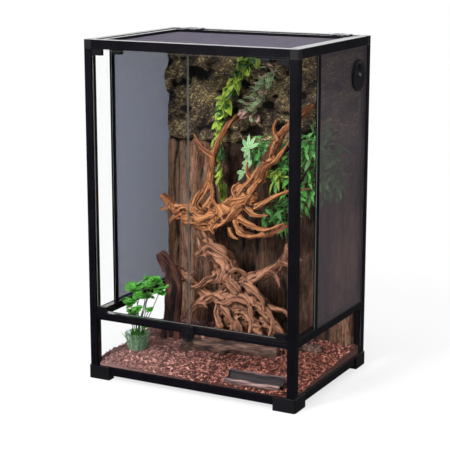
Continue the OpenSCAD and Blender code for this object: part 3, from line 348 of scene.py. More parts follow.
def leaf_skin(name, deep, fresh, edge, rim=0.6, speckle=0.5):
    """Soft plastic foliage with a midrib, side veins and a paler rim; rim is where that begins; deep is the
    colour of painted shade.
    """
    f = Finish(name)
    _, leaf_at = f.mark("leaf_at")
    shade, _ = f.mark("tone")
    run, across, _ = f.axes(leaf_at)
    side = abs(across)
    ribs = f.math("SINE", (run + side * 0.35) * 42)
    midrib = side < 0.07
    flecks = f.mottle(f.place(), 160, 3, 0.6)
    # Leaves with a low tone take the deep colour as painted shade; the darkening of each leaf towards its
    # stalk is partly its own darker base and partly painted shade.
    lit = f.mixed(f.grade(shade * 0.7 + flecks * speckle, 0.25, 0.95), deep, fresh)
    body = f.mixed(f.grade(run + side * 0.3, 0.05, 0.6, 0.7, 0.0), lit, deep)
    veined = f.mixed(f.highest(midrib, f.grade(ribs, 0.8, 1.0, 0, 0.35)), body, edge)
    rimmed = f.mixed(f.grade(side, rim, 1.0, 0, 1.2 - rim), veined, edge)
    return f.shown(f.surface(colour=rimmed, roughness=f.grade(flecks, 0.3, 0.7, 0.32, 0.5),
                             specular=0.45, normal=f.bump(ribs, 0.0004, 0.5)))


# ------------------------------------------------------------------ mesh work, in millimetres

def lerp(a, b, t):
    return a + (b - a) * t


def smooth(points, steps):
    """Points on a smooth curve through a route."""
    p = [np.array(q, float) for q in points]
    n = len(p) - 1
    out = []
    for i in range(n):
        a, b, c, d = p[max(i - 1, 0)], p[i], p[i + 1], p[min(i + 2, n)]
        for k in range(steps):
            t = k / steps
            out.append(0.5 * (2 * b + (c - a) * t + (2 * a - 5 * b + 4 * c - d) * t ** 2
                              + (3 * b - a - 3 * c + d) * t ** 3))
    return np.array(out + [p[n]])


def rough_at(p, size, octaves=3):
    """Fractal roughness at a place, about -1 to 1."""
    return noise.fractal(Vector((p[0] / size, p[1] / size, p[2] / size)), 0.9, 2.1, octaves)


class Shape:
    """Points, faces and marks of a piece, gathered before its mesh is made."""

    def __init__(self):
        self.points = []
        self.faces = []
        self.marks = []
        self.count = 0

    def add(self, points, faces, tone=0.5, at=None):
        points = np.asarray(points, float)
        n = len(points)
        extra = np.zeros((n, 4))
        extra[:, 0] = tone
        if at is not None:
            extra[:, 1:1 + np.shape(at)[1]] = at
        self.points.append(points)
        self.marks.append(extra)
        self.faces += [[int(k) + self.count for k in face] for face in faces]
        self.count += n

    def make(self, name, finish, at_name="leaf_at", rounded=True):
        mesh = bpy.data.meshes.new(name)
        points = np.concatenate(self.points) * MM
        mesh.from_pydata(points.tolist(), [], self.faces)
        marks = np.concatenate(self.marks)
        mesh.attributes.new("tone", "FLOAT", "POINT").data.foreach_set("value", marks[:, 0].astype("f"))
        mesh.attributes.new(at_name, "FLOAT_VECTOR", "POINT").data.foreach_set(
            "vector", marks[:, 1:4].astype("f").ravel())
        mesh.materials.append(finish)
        mesh.shade_smooth() if rounded else mesh.shade_flat()
        mesh.validate()
        made = bpy.data.objects.new(name, mesh)
        bpy.context.scene.collection.objects.link(made)
        return made


def paint(nodes, finish):
    for node in nodes:
        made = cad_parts[node]
        if not made.material_slots:
            made.data.materials.append(finish)
        for place in made.material_slots:
            place.material = finish


def stand_for(piece, node, body="root"):
    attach(piece, body)
    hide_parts(node)


def box_mm(node):
    low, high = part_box(node)
    return np.array(low) / MM, np.array(high) / MM


BOX_FACES = [(0, 3, 2, 1), (4, 5, 6, 7), (0, 1, 5, 4), (1, 2, 6, 5), (2, 3, 7, 6), (3, 0, 4, 7)]


def spun(turn, tip, roll):
    """Rotation matrix: roll about x, then tip about y, then turn about z, in radians."""
    return np.array(Matrix.Rotation(turn, 3, "Z") @ Matrix.Rotation(tip, 3, "Y")
                    @ Matrix.Rotation(roll, 3, "X"))


def turns(n):
    """Angles of n points round a circle."""
    return np.linspace(0, 2 * math.pi, n + 1)[:n]


def held(value, most):
    """A value kept between -most and most."""
    return max(-most, min(most, value))


def grid_faces(columns, rows):
    """Faces of a grid whose points are listed row by row."""
    row = columns + 1
    return [(j * row + i, j * row + i + 1, (j + 1) * row + i + 1, (j + 1) * row + i)
            for j in range(rows) for i in range(columns)]


def grid_rim(columns, rows):
    """The points round the outline of such a grid, in order."""
    row = columns + 1
    return (list(range(columns)) + [j * row + columns for j in range(rows)]
            + [rows * row + i for i in range(columns, 0, -1)] + [j * row for j in range(rows, 0, -1)])


def skirt(points, faces, rim, rows, middle):
    """Closes a sheet by rows of points that hang from its rim, and one in the middle of the last."""
    n, m = len(points), len(rim)
    for row in rows:
        points += row
    points.append(middle)
    last = n + (len(rows) - 1) * m
    for k in range(m):
        a, b = k, (k + 1) % m
        faces.append((rim[b], rim[a], n + a, n + b))
        for j in range(n, last, m):
            faces.append((j + b, j + a, j + m + a, j + m + b))
        faces.append((last + b, last + a, last + m))


def skin_faces(n, m):
    """Faces over n rings of m points, closed at each end by one of the two points that follow."""
    faces = [(i * m + k, i * m + (k + 1) % m, (i + 1) * m + (k + 1) % m, (i + 1) * m + k)
             for i in range(n - 1) for k in range(m)]
    faces += [(n * m, (k + 1) % m, k) for k in range(m)]
    return faces + [(n * m + 1, (n - 1) * m + k, (n - 1) * m + (k + 1) % m) for k in range(m)]


def lengths_along(path):
    """Distance from a path's start to each of its points."""
    return np.concatenate([[0], np.cumsum(np.linalg.norm(np.diff(path, axis=0), axis=1))])


def wire(shape, a, b, r, flat):
    """Straight wire with a diamond section; flat is the direction that the cloth faces."""
    a, b = np.array(a, float), np.array(b, float)
    run = (b - a) / np.linalg.norm(b - a)
    face = np.array(flat, float)
    side = np.cross(run, face)
    ring = [side * r, face * r, -side * r, -face * r]
    shape.add([a + q for q in ring] + [b + q for q in ring], BOX_FACES)


def turned_frames(path):
    """Directions across a path, carried along it without twist."""
    n = len(path)
    runs = np.array([path[min(i + 1, n - 1)] - path[max(i - 1, 0)] for i in range(n)])
    runs /= np.linalg.norm(runs, axis=1)[:, None] + 1e-9
    side = np.cross(runs[0], (0.31, 0.2, 0.93) if abs(runs[0][2]) < 0.9 else (1, 0.1, 0.05))
    sides = []
    for run in runs:
        side = side - run * side.dot(run)
        side = side / (np.linalg.norm(side) + 1e-9)
        sides.append(side)
    sides = np.array(sides)
    return runs, sides, np.cross(runs, sides)


def tube(shape, path, radii, sides, tone=0.5, rough=0.0):
    """Closed tube along a path, with a radius at each point."""
    path = np.array(path, float)
    n = len(path)
    runs, across, up = turned_frames(path)
    radii = np.broadcast_to(radii, n)
    lengths = lengths_along(path)
    points, at = [], []
    for i in range(n):
        for k in range(sides):
            turn = 2 * math.pi * k / sides
            out = across[i] * math.cos(turn) + up[i] * math.sin(turn)
            r = radii[i]
            if rough:
                r *= 1 + rough * rough_at((math.cos(turn) * 9, math.sin(turn) * 9,
                                           lengths[i] * 0.25 + radii[0]), 7)
            points.append(path[i] + out * r)
            at.append((lengths[i] / 30, math.cos(turn), 0))
    points += [path[0] - runs[0] * radii[0] * 0.5, path[-1] + runs[-1] * radii[-1] * 0.6]
    at += [(0, 0, 0), (lengths[-1] / 30, 0, 0)]
    shape.add(points, skin_faces(n, sides), tone, at)


def swept_rings(shape, rings, at=None):
    """Closed skin over a row of rings that have the same number of points."""
    points = [q for ring in rings for q in ring] + [np.mean(rings[0], axis=0), np.mean(rings[-1], axis=0)]
    if at is not None:
        at = list(at) + [at[0], at[-1]]
    shape.add(points, skin_faces(len(rings), len(rings[0])), at=at)


def read(items, name, width, kind="f"):
    values = np.empty(len(items) * width, kind)
    items.foreach_get(name, values)
    return values.reshape(-1, width)


def hollows(mesh):
    """How deep each point lies between its neighbours: 0 on crests, 1 in creases."""
    places = read(mesh.vertices, "co", 3)
    edges = read(mesh.edges, "vertices", 2, "i")

    def from_neighbours(values):
        total = np.zeros(values.shape)
        for a, b in ((0, 1), (1, 0)):
            np.add.at(total, edges[:, a], values[edges[:, b]])
        return total

    count = np.maximum(from_neighbours(np.ones(len(places))), 1)
    depth = np.einsum("ij,ij->i", from_neighbours(places) / count[:, None] - places,
                      read(mesh.vertices, "normal", 3))
    for _ in range(6):
        depth = 0.4 * depth + 0.6 * from_neighbours(depth) / count
    high = np.percentile(depth, 97)
    return np.clip(depth / max(high, 1e-9), 0, 1)


def ringed(path, ring, swell, grain=10.0):
    """Rings along a path, roughened outward, and the places of their grain."""
    rings, at = [], []
    length = 0.0
    for i, p in enumerate(path):
        run = path[min(i + 1, len(path) - 1)] - path[max(i - 1, 0)]
        run = run / np.linalg.norm(run)
        a = np.cross((0, 1, 0.05), run)
        a /= np.linalg.norm(a)
        b = np.cross(run, a)
        length += np.linalg.norm(p - path[max(i - 1, 0)])
        made = []
        for u, v in ring(i / (len(path) - 1)):
            out = (a * u + b * v) / (math.hypot(u, v) + 1e-6)
            lift = noise.fractal(Vector((u / grain * 2, v / grain * 2, length / 50)), 0.8, 2.2, 4) * swell
            made.append(p + a * u + b * v + out * lift)
            at.append((u * MM, v * MM, length * MM))
        rings.append(np.array(made))
    return rings, at


def set_number(mesh, name, values):
    made = mesh.attributes.get(name) or mesh.attributes.new(name, "FLOAT", "POINT")
    made.data.foreach_set("value", np.asarray(values, "f"))


def set_place(mesh, name, values):
    made = mesh.attributes.get(name) or mesh.attributes.new(name, "FLOAT_VECTOR", "POINT")
    made.data.foreach_set("vector", np.asarray(values, "f").ravel())


def applied(piece):
    """Bakes a piece's modifiers into its mesh."""
    seen = piece.evaluated_get(bpy.context.evaluated_depsgraph_get())
    mesh = bpy.data.meshes.new_from_object(seen)
    piece.modifiers.clear()
    old = piece.data
    piece.data = mesh
    bpy.data.meshes.remove(old)
    return mesh


GRAIN_RADIUS = 14.0    # the radius at which the grain is drawn on every limb
GRAIN_TWIST = 0.014    # turn of the grain for each millimetre along a limb, in radians
CRACK_WIDTH = 0.16     # share of the noise about its middle that opens as a crack
FULL_CARVING = 9.0     # radius from which a limb is carved at full depth


def grown_wood(name, limbs, finish, voxel, stout, seed):
    """Limbs of twisted strands, fused into one piece of driftwood and carved along their grain."""
    rng = random.Random(seed)
    shape = Shape()
    knots = []
    for route, r0, r1 in limbs:
        path = smooth(route, 8)
        n = len(path)
        radii = np.array([lerp(r0 * stout, r1, (i / (n - 1)) ** 0.9) for i in range(n)])
        radii *= [1 + 0.22 * rough_at(path[i], 22) for i in range(n)]
        runs, across, up = turned_frames(path)
        lengths = lengths_along(path)

        def outward(i, turn):
            return across[i] * math.cos(turn) + up[i] * math.sin(turn)

        tube(shape, path, radii * 0.88, 12)
        for k in range(5 if r0 > 8 else 3):
            start = rng.uniform(0, 6.28)
            speed = rng.uniform(0.006, 0.02) * rng.choice((1, 1, -1))
            reach = rng.uniform(0.46, 0.74)
            thick = rng.uniform(0.28, 0.44)
            strand = [path[i] + outward(i, start + lengths[i] * speed) * radii[i] * reach
                      * (1 + 0.3 * rough_at(path[i] + 40.0 * k, 30)) for i in range(n)]
            tube(shape, strand, radii * thick, 8)
        for i in range(n):
            knots.append((path[i], runs[i], across[i], up[i], lengths[i], radii[i]))
        for _ in range(int(lengths[-1] / 60)):
            i = rng.randrange(1, n - 1)
            out = outward(i, rng.uniform(0, 6.28))
            long = radii[i] * rng.uniform(0.9, 1.5)
            tube(shape, [path[i], path[i] + out * long * 0.8, path[i] + out * long + runs[i] * long * 0.25],
                 [radii[i] * 0.5, radii[i] * 0.42, radii[i] * 0.16], 7)
    piece = shape.make(name, finish)
    fuse = piece.modifiers.new("fuse", "REMESH")
    fuse.mode = "VOXEL"
    fuse.voxel_size = voxel * MM
    soften = piece.modifiers.new("soften", "SMOOTH")
    soften.factor = 0.5
    soften.iterations = 2
    mesh = applied(piece)
    tree = kdtree.KDTree(len(knots))
    for i, knot in enumerate(knots):
        tree.insert(knot[0], i)
    tree.balance()
    moved, places, tones = [], [], []
    for vertex in mesh.vertices:
        at = vertex.co / MM
        _, i, _ = tree.find(at)
        centre, run, across, up, length, r = knots[i]
        off = np.array(at) - centre
        s = length + off.dot(run)
        u, v = off.dot(across), off.dot(up)
        far = math.hypot(u, v) + 1e-6
        u, v = u / far * GRAIN_RADIUS, v / far * GRAIN_RADIUS
        twist = s * GRAIN_TWIST
        u, v = u * math.cos(twist) - v * math.sin(twist), u * math.sin(twist) + v * math.cos(twist)
        flutes = noise.fractal(Vector((u / 4.5, v / 4.5, s / 60)), 0.8, 2.2, 3)
        crack = max(0.0, CRACK_WIDTH - abs(noise.noise(Vector((u / 5, v / 5, s / 70))))) / CRACK_WIDTH
        lumps = rough_at(at, 20)
        thin = min(1.0, r / FULL_CARVING)
        lift = (flutes * 2.2 - crack * 2.6 + lumps * 3.2) * thin
        moved.append(vertex.co + vertex.normal * lift * MM)
        places.append((u * MM, v * MM, s * MM))
        tones.append(crack)
    mesh.vertices.foreach_set("co", np.array(moved, "f").ravel())
    mesh.update()
    # The mark for painted shade: creases between the limbs and strands, and the cracks.
    set_number(mesh, "hollow", np.clip(hollows(mesh) * 0.75 + 0.5 * np.array(tones), 0, 1))
    set_place(mesh, "grain_at", places)
    mesh.shade_smooth()
    return piece


# ------------------------------------------------------------------ the enclosure's ground plan

FRAME_W, FRAME_D, BAR = 610.0, 457.0, 22.0
IN_X, IN_Y = FRAME_W / 2 - BAR, FRAME_D / 2 - BAR
MID_TOP, BED_Z0 = 187.0, 22.0
GLASS_X, GLASS_Y = FRAME_W / 2 - 6.3, FRAME_D / 2 - 6.3
PORT_Y, PORT_Z, PORT_HOLE = 150.5, 817.0, 34.3
BARK_LOW, BARK_SPLIT, BARK_HIGH, BARK_X = 46.0, 602.0, 884.0, 296.9


def sind(a):
    return math.sin(math.radians(a))


def cosd(a):
    return math.cos(math.radians(a))


def bed_z(x, y):
    """Height of the bedding, as in the part's source."""
    rise = max(0.0, (y + FRAME_D / 2) / FRAME_D) ** 0.8
    return (BED_Z0 + lerp(18, 42, rise) - 4 * x / (FRAME_W / 2)
            + 1.5 * sind(x * 2.1 + 40) * cosd(y * 2.7) + 1.2 * sind(x * 5.3 + y * 3.9))


def on_bed(start, end, above, n):
    """Points along a straight line at a height above the bedding."""
    line = [(lerp(start[0], end[0], t), lerp(start[1], end[1], t)) for t in np.linspace(0, 1, n)]
    return np.array([(x, y, bed_z(x, y) + above) for x, y in line])


def bark_relief(x, z):
    """Thickness of the background, as in the part's source."""
    if z < BARK_SPLIT:
        more = 6 * sind(x * 3.1 + 8 * sind(z * 0.9)) + 3 * sind(x * 8.3 + 30)
    else:
        more = 8 + 9 * sind(x * 1.7 + z * 0.8) * cosd(z * 2.1 - x * 0.6) + 4 * sind(x * 4.4 - z * 3.3)
    return 36 + more


# ------------------------------------------------------------------ settings

def colour_setting(name, description, default):
    return FloatVectorProperty(name=name, description=description, subtype="COLOR", size=3,
                               min=0, max=1, default=default)


class EnclosureSettings(bpy.types.PropertyGroup):
    plastic: colour_setting("Frame", "Colour of the satin black bars", (0.0018, 0.0015, 0.0027))
    caps: colour_setting("Caps and feet", "Colour of the moulded corners and feet",
                         (0.0035, 0.0032, 0.0045))
    locks: colour_setting("Lid locks", "Colour of the grey sliding locks", (0.17, 0.175, 0.19))
    steel: colour_setting("Screws and pins", "Colour of the bright steel", (0.62, 0.63, 0.66))
    glass_tint: colour_setting("Glass", "Colour of the light that each face of the glass passes",
                               (0.996, 0.999, 0.998))
    glass_mirror: FloatProperty(name="Glass mirror", default=0.16, min=0, max=1,
                                description="Share of the mirror image that the glass shows")
    glass_edge: colour_setting("Glass edge", "Colour of the ground edges of the glass", (0.16, 0.18, 0.18))
    wire: colour_setting("Wire", "Colour of the right screen's wire cloth", (0.042, 0.031, 0.038))
    # The left screen has the same wire as the right; the blue of its colour is painted light, the bluish cast
    # on that screen.
    left_wire_painted_light: colour_setting("Left wire", "Colour of the left screen's wire cloth", (0.048, 0.07, 0.165))
    lid_wire: colour_setting("Lid wire", "Colour of the lid's wire cloth", (0.05, 0.044, 0.06))
    wire_pitch: FloatProperty(name="Wire pitch", description="From one wire of the cloth to the next",
                              unit="LENGTH", default=0.0014, min=0.001, max=0.006)
    wire_radius: FloatProperty(name="Wire radius", description="Radius of a wire of the cloth",
                               unit="LENGTH", default=0.0002, min=0.0001, max=0.001)


class BeddingSettings(bpy.types.PropertyGroup):
    chips: IntProperty(name="Chips", description="How many loose bark chips lie on the bedding",
                       default=8600, min=0, max=9000)
    chip_length: FloatProperty(name="Chip length", description="Mean length of a chip", unit="LENGTH",
                               default=0.0112, min=0.004, max=0.03)
    dark: colour_setting("Dark chips", "Colour of the darkest chips", (0.02, 0.006, 0.005))
    warm: colour_setting("Red chips", "Colour of most chips", (0.17, 0.042, 0.026))
    pale: colour_setting("Pale chips", "Colour of the palest chips", (0.58, 0.27, 0.22))


class WoodSettings(bpy.types.PropertyGroup):
    cork_dark: colour_setting("Cork, dark", "Deepest colour of the background", (0.014, 0.01, 0.011))
    cork_brown: colour_setting("Cork, brown", "Middle colour of the background", (0.085, 0.056, 0.04))
    cork_ochre: colour_setting("Cork, ochre", "Grains of the background", (0.4, 0.31, 0.145))
    drift_dark: colour_setting("Driftwood, dark", "Grain lines of the driftwood", (0.06, 0.016, 0.006))
    drift_warm: colour_setting("Driftwood, warm", "Main colour of the driftwood", (0.18, 0.056, 0.019))
    drift_pale: colour_setting("Driftwood, pale", "Worn crests of the driftwood", (0.5, 0.22, 0.09))
    voxel: FloatProperty(name="Driftwood detail", description="Size of the driftwood's finest shapes",
                         unit="LENGTH", default=0.0026, min=0.0015, max=0.006)


class LeafSettings(bpy.types.PropertyGroup):
    bright: colour_setting("Potted plant", "Fresh green of the round leaves", (0.085, 0.38, 0.035))
    lime: colour_setting("Vine", "Yellow-green of the vine", (0.38, 0.56, 0.035))
    mint: colour_setting("Finger leaves", "Pale green of the lobed leaves", (0.13, 0.33, 0.12))
    foliage: colour_setting("Foliage", "Mid green of the bushy foliage", (0.07, 0.32, 0.045))
    pink: colour_setting("Pink leaves", "Pink of the mixed leaves", (0.7, 0.36, 0.34))


class StageSettings(bpy.types.PropertyGroup):
    floor: colour_setting("Floor", "Colour of the pale floor", (0.86, 0.86, 0.86))
    ambient: FloatProperty(name="Ambient", description="Strength of the soft light from all round",
                           default=0.3, min=0, max=2)
    key: FloatProperty(name="Key", description="Power of the soft light from the front, in watts",
                       default=150, min=0, max=500)
    fill: FloatProperty(name="Fill", description="Power of the soft light from the right, in watts",
                        default=30, min=0, max=500)
    top: FloatProperty(name="Top", description="Power of the soft light from above, in watts",
                       default=50, min=0, max=500)


class TerrariumSettings(bpy.types.PropertyGroup):
    enclosure: PointerProperty(type=EnclosureSettings)
    bedding: PointerProperty(type=BeddingSettings)
    wood: PointerProperty(type=WoodSettings)
    leaves: PointerProperty(type=LeafSettings)
    stage: PointerProperty(type=StageSettings)


def settings():
    return bpy.context.scene.terrarium


# ------------------------------------------------------------------ operators

PHOTO_WIDTH, FOCAL_LENGTH = 450, 1374.34    # both in pixels
CAMERA_PLACE = (1.68306, -3.20152, 1.22174)
CAMERA_DOWN, CAMERA_TURN = 0.2207, 0.4873   # in radians


class TERRARIUM_OT_stage(bpy.types.Operator):
    """Sets the pale floor, the white surroundings, the soft lights and the camera"""
    bl_idname = "terrarium.stage"
    bl_label = "Stage"

    def execute(self, context):
        s = settings().stage
        n, r, drop = 64, 9.0, -0.0003
        mesh = bpy.data.meshes.new("floor")
        mesh.from_pydata([(0, 0, drop)] + [(r * math.cos(a), r * math.sin(a), drop) for a in turns(n)], [],
                         [(0, 1 + k, 1 + (k + 1) % n) for k in range(n)])
        floor = bpy.data.objects.new("floor", mesh)
        context.scene.collection.objects.link(floor)
        f = Finish("pale_floor")
        x, y, _ = f.axes(f.place())
        away = f.math("SQRT", x * x + y * y)
        seen, mirrored = f.rays()
        lit = f.surface(colour=tuple(s.floor), roughness=0.8, specular=0.2)
        plain = f.blend(seen * f.grade(away, 0.35, 1.3, 0.72, 1.0), lit, f.glow(1.0))
        mesh.materials.append(f.shown(f.blend(mirrored, plain, f.glow(0.07))))

        world = bpy.data.worlds.new("studio")
        context.scene.world = world
        w = Finish("studio", world)
        seen, mirrored = w.rays()
        _, _, up = w.axes(w.node("ShaderNodeTexCoord").outputs["Generated"])
        sky = w.grade(up, 0.02, 0.17, 0.05, 2.6) * w.grade(up, 0.32, 0.55, 1.0, 0.3)
        strength = seen + (1 - seen) * (mirrored * sky + (1 - mirrored) * s.ambient)
        w.shown(w.node("ShaderNodeBackground", None, {"Color": (1, 1, 1), "Strength": strength}).outputs[0])

        for name, place, size, power in (("key", (-0.6, -2.9, 2.1), 1.1, s.key),
                                         ("fill", (3.3, -1.7, 1.3), 1.6, s.fill),
                                         ("top", (0.1, 0.1, 2.9), 1.8, s.top)):
            lamp = bpy.data.lights.new(name, "AREA")
            lamp.shape = "DISK"
            lamp.size = size
            lamp.energy = power
            made = bpy.data.objects.new(name, lamp)
            made.location = place
            made.rotation_euler = (Vector((0, 0, 0.42)) - made.location).to_track_quat("-Z", "Y").to_euler()
            context.scene.collection.objects.link(made)

        camera = bpy.data.cameras.new("camera")
        camera.sensor_width = 36
        camera.lens = FOCAL_LENGTH * camera.sensor_width / PHOTO_WIDTH
        camera.clip_end = 60
        made = bpy.data.objects.new("camera", camera)
        made.location = CAMERA_PLACE
        made.rotation_euler = (math.pi / 2 - CAMERA_DOWN, 0, CAMERA_TURN)
        context.scene.collection.objects.link(made)
        context.scene.camera = made
        context.scene.view_settings.view_transform = "Standard"
        return {"FINISHED"}


class TERRARIUM_OT_bars(bpy.types.Operator):
    """Finishes the bars, caps, feet, hinges, latch, port and locks"""
    bl_idname = "terrarium.bars"
    bl_label = "Bars and fittings"

    def execute(self, context):
        s = settings().enclosure
        bars = moulded_plastic("satin_bars", tuple(s.plastic), 0.24, 0.2)
        caps = moulded_plastic("moulded_corners", tuple(s.caps), 0.34, 0.25)
        fittings = moulded_plastic("moulded_fittings", tuple(s.plastic), 0.3, 0.25)
        locks = moulded_plastic("grey_locks", tuple(s.locks), 0.4)
        rails = [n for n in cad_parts
                 if n.startswith(("post_", "top_rail", "mid_rail", "bottom_rail", "mullion"))] + ["lid_frame"]
        paint(rails, bars)
        paint(["top_corner_caps", "foot_fl", "foot_fr", "foot_bl", "foot_br", "floor_panel"], caps)
        paint(["port_base", "port_shutter", "lid_brackets", "latch_boss", "latch_lever", "latch_screw",
               "door_hinges_left", "door_hinges_right"], fittings)
        paint(["lid_lock_left", "lid_lock_right", "hinge_bushes"], locks)
        paint(["port_screw", "lid_pins"], turned_steel("turned_steel", tuple(s.steel)))
        return {"FINISHED"}


class TERRARIUM_OT_panes(bpy.types.Operator):
    """Finishes every pane of glass, with its ground edges"""
    bl_idname = "terrarium.panes"
    bl_label = "Glass"

    def execute(self, context):
        for node in ("lower_glass_front", "lower_glass_left", "lower_glass_right", "back_glass",
                     "side_glass_left", "side_glass_right", "door_glass_left", "door_glass_right"):
            paint([node], pane(node + "_pane", node, settings().enclosure))
        return {"FINISHED"}


class TERRARIUM_OT_screens(bpy.types.Operator):
    """Weaves the fine wire cloth of the side screens and the lid"""
    bl_idname = "terrarium.screens"
    bl_label = "Wire cloth"

    def execute(self, context):
        s = settings().enclosure
        pitch, r = s.wire_pitch / MM, s.wire_radius / MM
        border, hidden = 4.0, 2.0    # rim free of wires, and how far each wire stops short of the edge
        # Each screen's wire takes its own colour; the left screen's blue is painted light.
        for node, body, colour, gauge in (("side_screen_left", "root", s.left_wire_painted_light, 1.6),
                                          ("side_screen_right", "root", s.wire, 1.15),
                                          ("lid_mesh", "lid", s.lid_wire, 1.25)):
            low, high = box_mm(node)
            thin = int(np.argmin(high - low))
            run, rise = [k for k in range(3) if k != thin]
            middle = (low + high) / 2
            flat = np.zeros(3)
            flat[thin] = 1
            shape = Shape()
            finish = woven_wire(node + "_wire", tuple(colour))
            for along, over in ((run, rise), (rise, run)):
                layer = r if along == run else -r
                woven = high[over] - low[over] - 2 * border
                count = int(woven / pitch)
                for k in range(1, count):
                    at = low[over] + border + k * woven / count
                    spans = [(low[along] + hidden, high[along] - hidden)]
                    if node == "side_screen_right":
                        centre = {1: PORT_Y, 2: PORT_Z}
                        off = at - centre[over]
                        if abs(off) < PORT_HOLE:
                            half = math.sqrt(PORT_HOLE ** 2 - off ** 2)
                            spans = [(spans[0][0], centre[along] - half), (centre[along] + half, spans[0][1])]
                    for a, b in spans:
                        p, q = middle.copy(), middle.copy()
                        p[over] = q[over] = at
                        p[along], q[along] = a, b
                        p[thin] = q[thin] = middle[thin] + layer
                        wire(shape, p, q, r * gauge, flat)
            width = 9.0 if thin == 0 else 3.3    # of the solid rim: side screens, then the lid's mesh
            for axis, other in ((run, rise), (rise, run)):
                for end in (0, 1):
                    a, b = low.copy(), high.copy()
                    if end:
                        a[other] = high[other] - width
                    else:
                        b[other] = low[other] + width
                    if axis == rise:
                        a[axis] += width
                        b[axis] -= width
                    around = ((a[0], a[1]), (b[0], a[1]), (b[0], b[1]), (a[0], b[1]))
                    shape.add([(x, y, z) for z in (a[2], b[2]) for x, y in around], BOX_FACES)
            piece = shape.make(node + "_cloth", finish, rounded=False)
            stand_for(piece, node, body)
        return {"FINISHED"}


CHIP_FACES = [(0, 1, 2, 3, 4), (9, 8, 7, 6, 5)] + [(k, k + 5, (k + 1) % 5 + 5, (k + 1) % 5) for k in range(5)]


class TERRARIUM_OT_bedding(bpy.types.Operator):
    """Lays the bark bedding and its loose chips"""
    bl_idname = "terrarium.bedding"
    bl_label = "Bedding"

    def execute(self, context):
        s = settings().bedding
        finish = chip_bark("bark_bedding", tuple(s.dark), tuple(s.warm), tuple(s.pale))
        rng = np.random.default_rng(11)
        shape = Shape()
        nx, ny = 150, 110
        sill = 36.4    # above it the bedding spreads from the bars out to the glass

        def kept(x, y):
            """Pulls a corner point clear of the posts."""
            if abs(x) > IN_X - 0.5 and abs(y) > IN_Y - 0.5:
                x, y = math.copysign(IN_X - 0.5, x), math.copysign(IN_Y - 0.5, y)
            return x, y

        points = []
        for y in np.linspace(-GLASS_Y, GLASS_Y, ny + 1):
            for x in np.linspace(-GLASS_X, GLASS_X, nx + 1):
                x2, y2 = kept(x, y)
                lump = 1.6 * rough_at((x2, y2, 0), 9)
                points.append((x2, y2, max(37.0, bed_z(x2, y2) + lump - 1.5)))
        faces, rim = grid_faces(nx, ny), grid_rim(nx, ny)
        wide = [points[k][:2] for k in rim]
        narrow = [(held(x, IN_X - 0.4), held(y, IN_Y - 0.4)) for x, y in wide]
        rows = [[(x, y, z) for x, y in row] for row, z in ((wide, sill), (narrow, sill), (narrow, BED_Z0))]
        skirt(points, faces, rim, rows, (0, 0, BED_Z0))
        shape.add(points, faces, tone=0.25 * rng.random(len(points)))

        mean = s.chip_length / MM
        for _ in range(s.chips):
            x, y = rng.uniform(-GLASS_X, GLASS_X), rng.uniform(-GLASS_Y, GLASS_Y * 0.86)
            by_post = abs(x) > IN_X - 10 and abs(y) > IN_Y - 10
            in_trough = 94 < x < 250 and abs(y - lerp(-194, -180, (x - 96) / 152)) < 19
            if by_post or in_trough:
                continue
            length = mean * rng.uniform(0.45, 1.35)
            width = length * rng.uniform(0.25, 0.6)
            thick = rng.uniform(0.8, 2.4)
            turn, tip, roll = rng.uniform(0, 6.28), rng.normal(0, 0.38), rng.normal(0, 0.5)
            angles = turns(5) + rng.uniform(-0.35, 0.35, 5)
            flat = np.stack([np.cos(angles) * length / 2, np.sin(angles) * width / 2], 1)
            flat = flat * rng.uniform(0.75, 1.1, (5, 1))
            local = np.concatenate([np.c_[flat, np.full(5, thick / 2)],
                                    np.c_[flat * 0.9, np.full(5, -thick / 2)]])
            spin = spun(turn, tip, roll)
            chip = local @ spin.T + (x, y, bed_z(x, y) + rng.uniform(0.2, 2.4))
            chip[:, 0] = np.clip(chip[:, 0], -GLASS_X, GLASS_X)
            chip[:, 1] = np.clip(chip[:, 1], -GLASS_Y, GLASS_Y)
            chip[:, 2] = np.maximum(chip[:, 2], 36.6)
            shape.add(chip, CHIP_FACES, tone=rng.beta(1.1, 1.15))
        piece = shape.make("bark_bedding", finish, rounded=False)
        stand_for(piece, "substrate")
        return {"FINISHED"}


SEAM = 8.0    # half the width of the groove between the rock and the bark below it


def ridged(x, y, z, octaves):
    return noise.ridged_multi_fractal(Vector((x, y, z)), 0.9, 2.1, octaves, 0.9, 1.8)


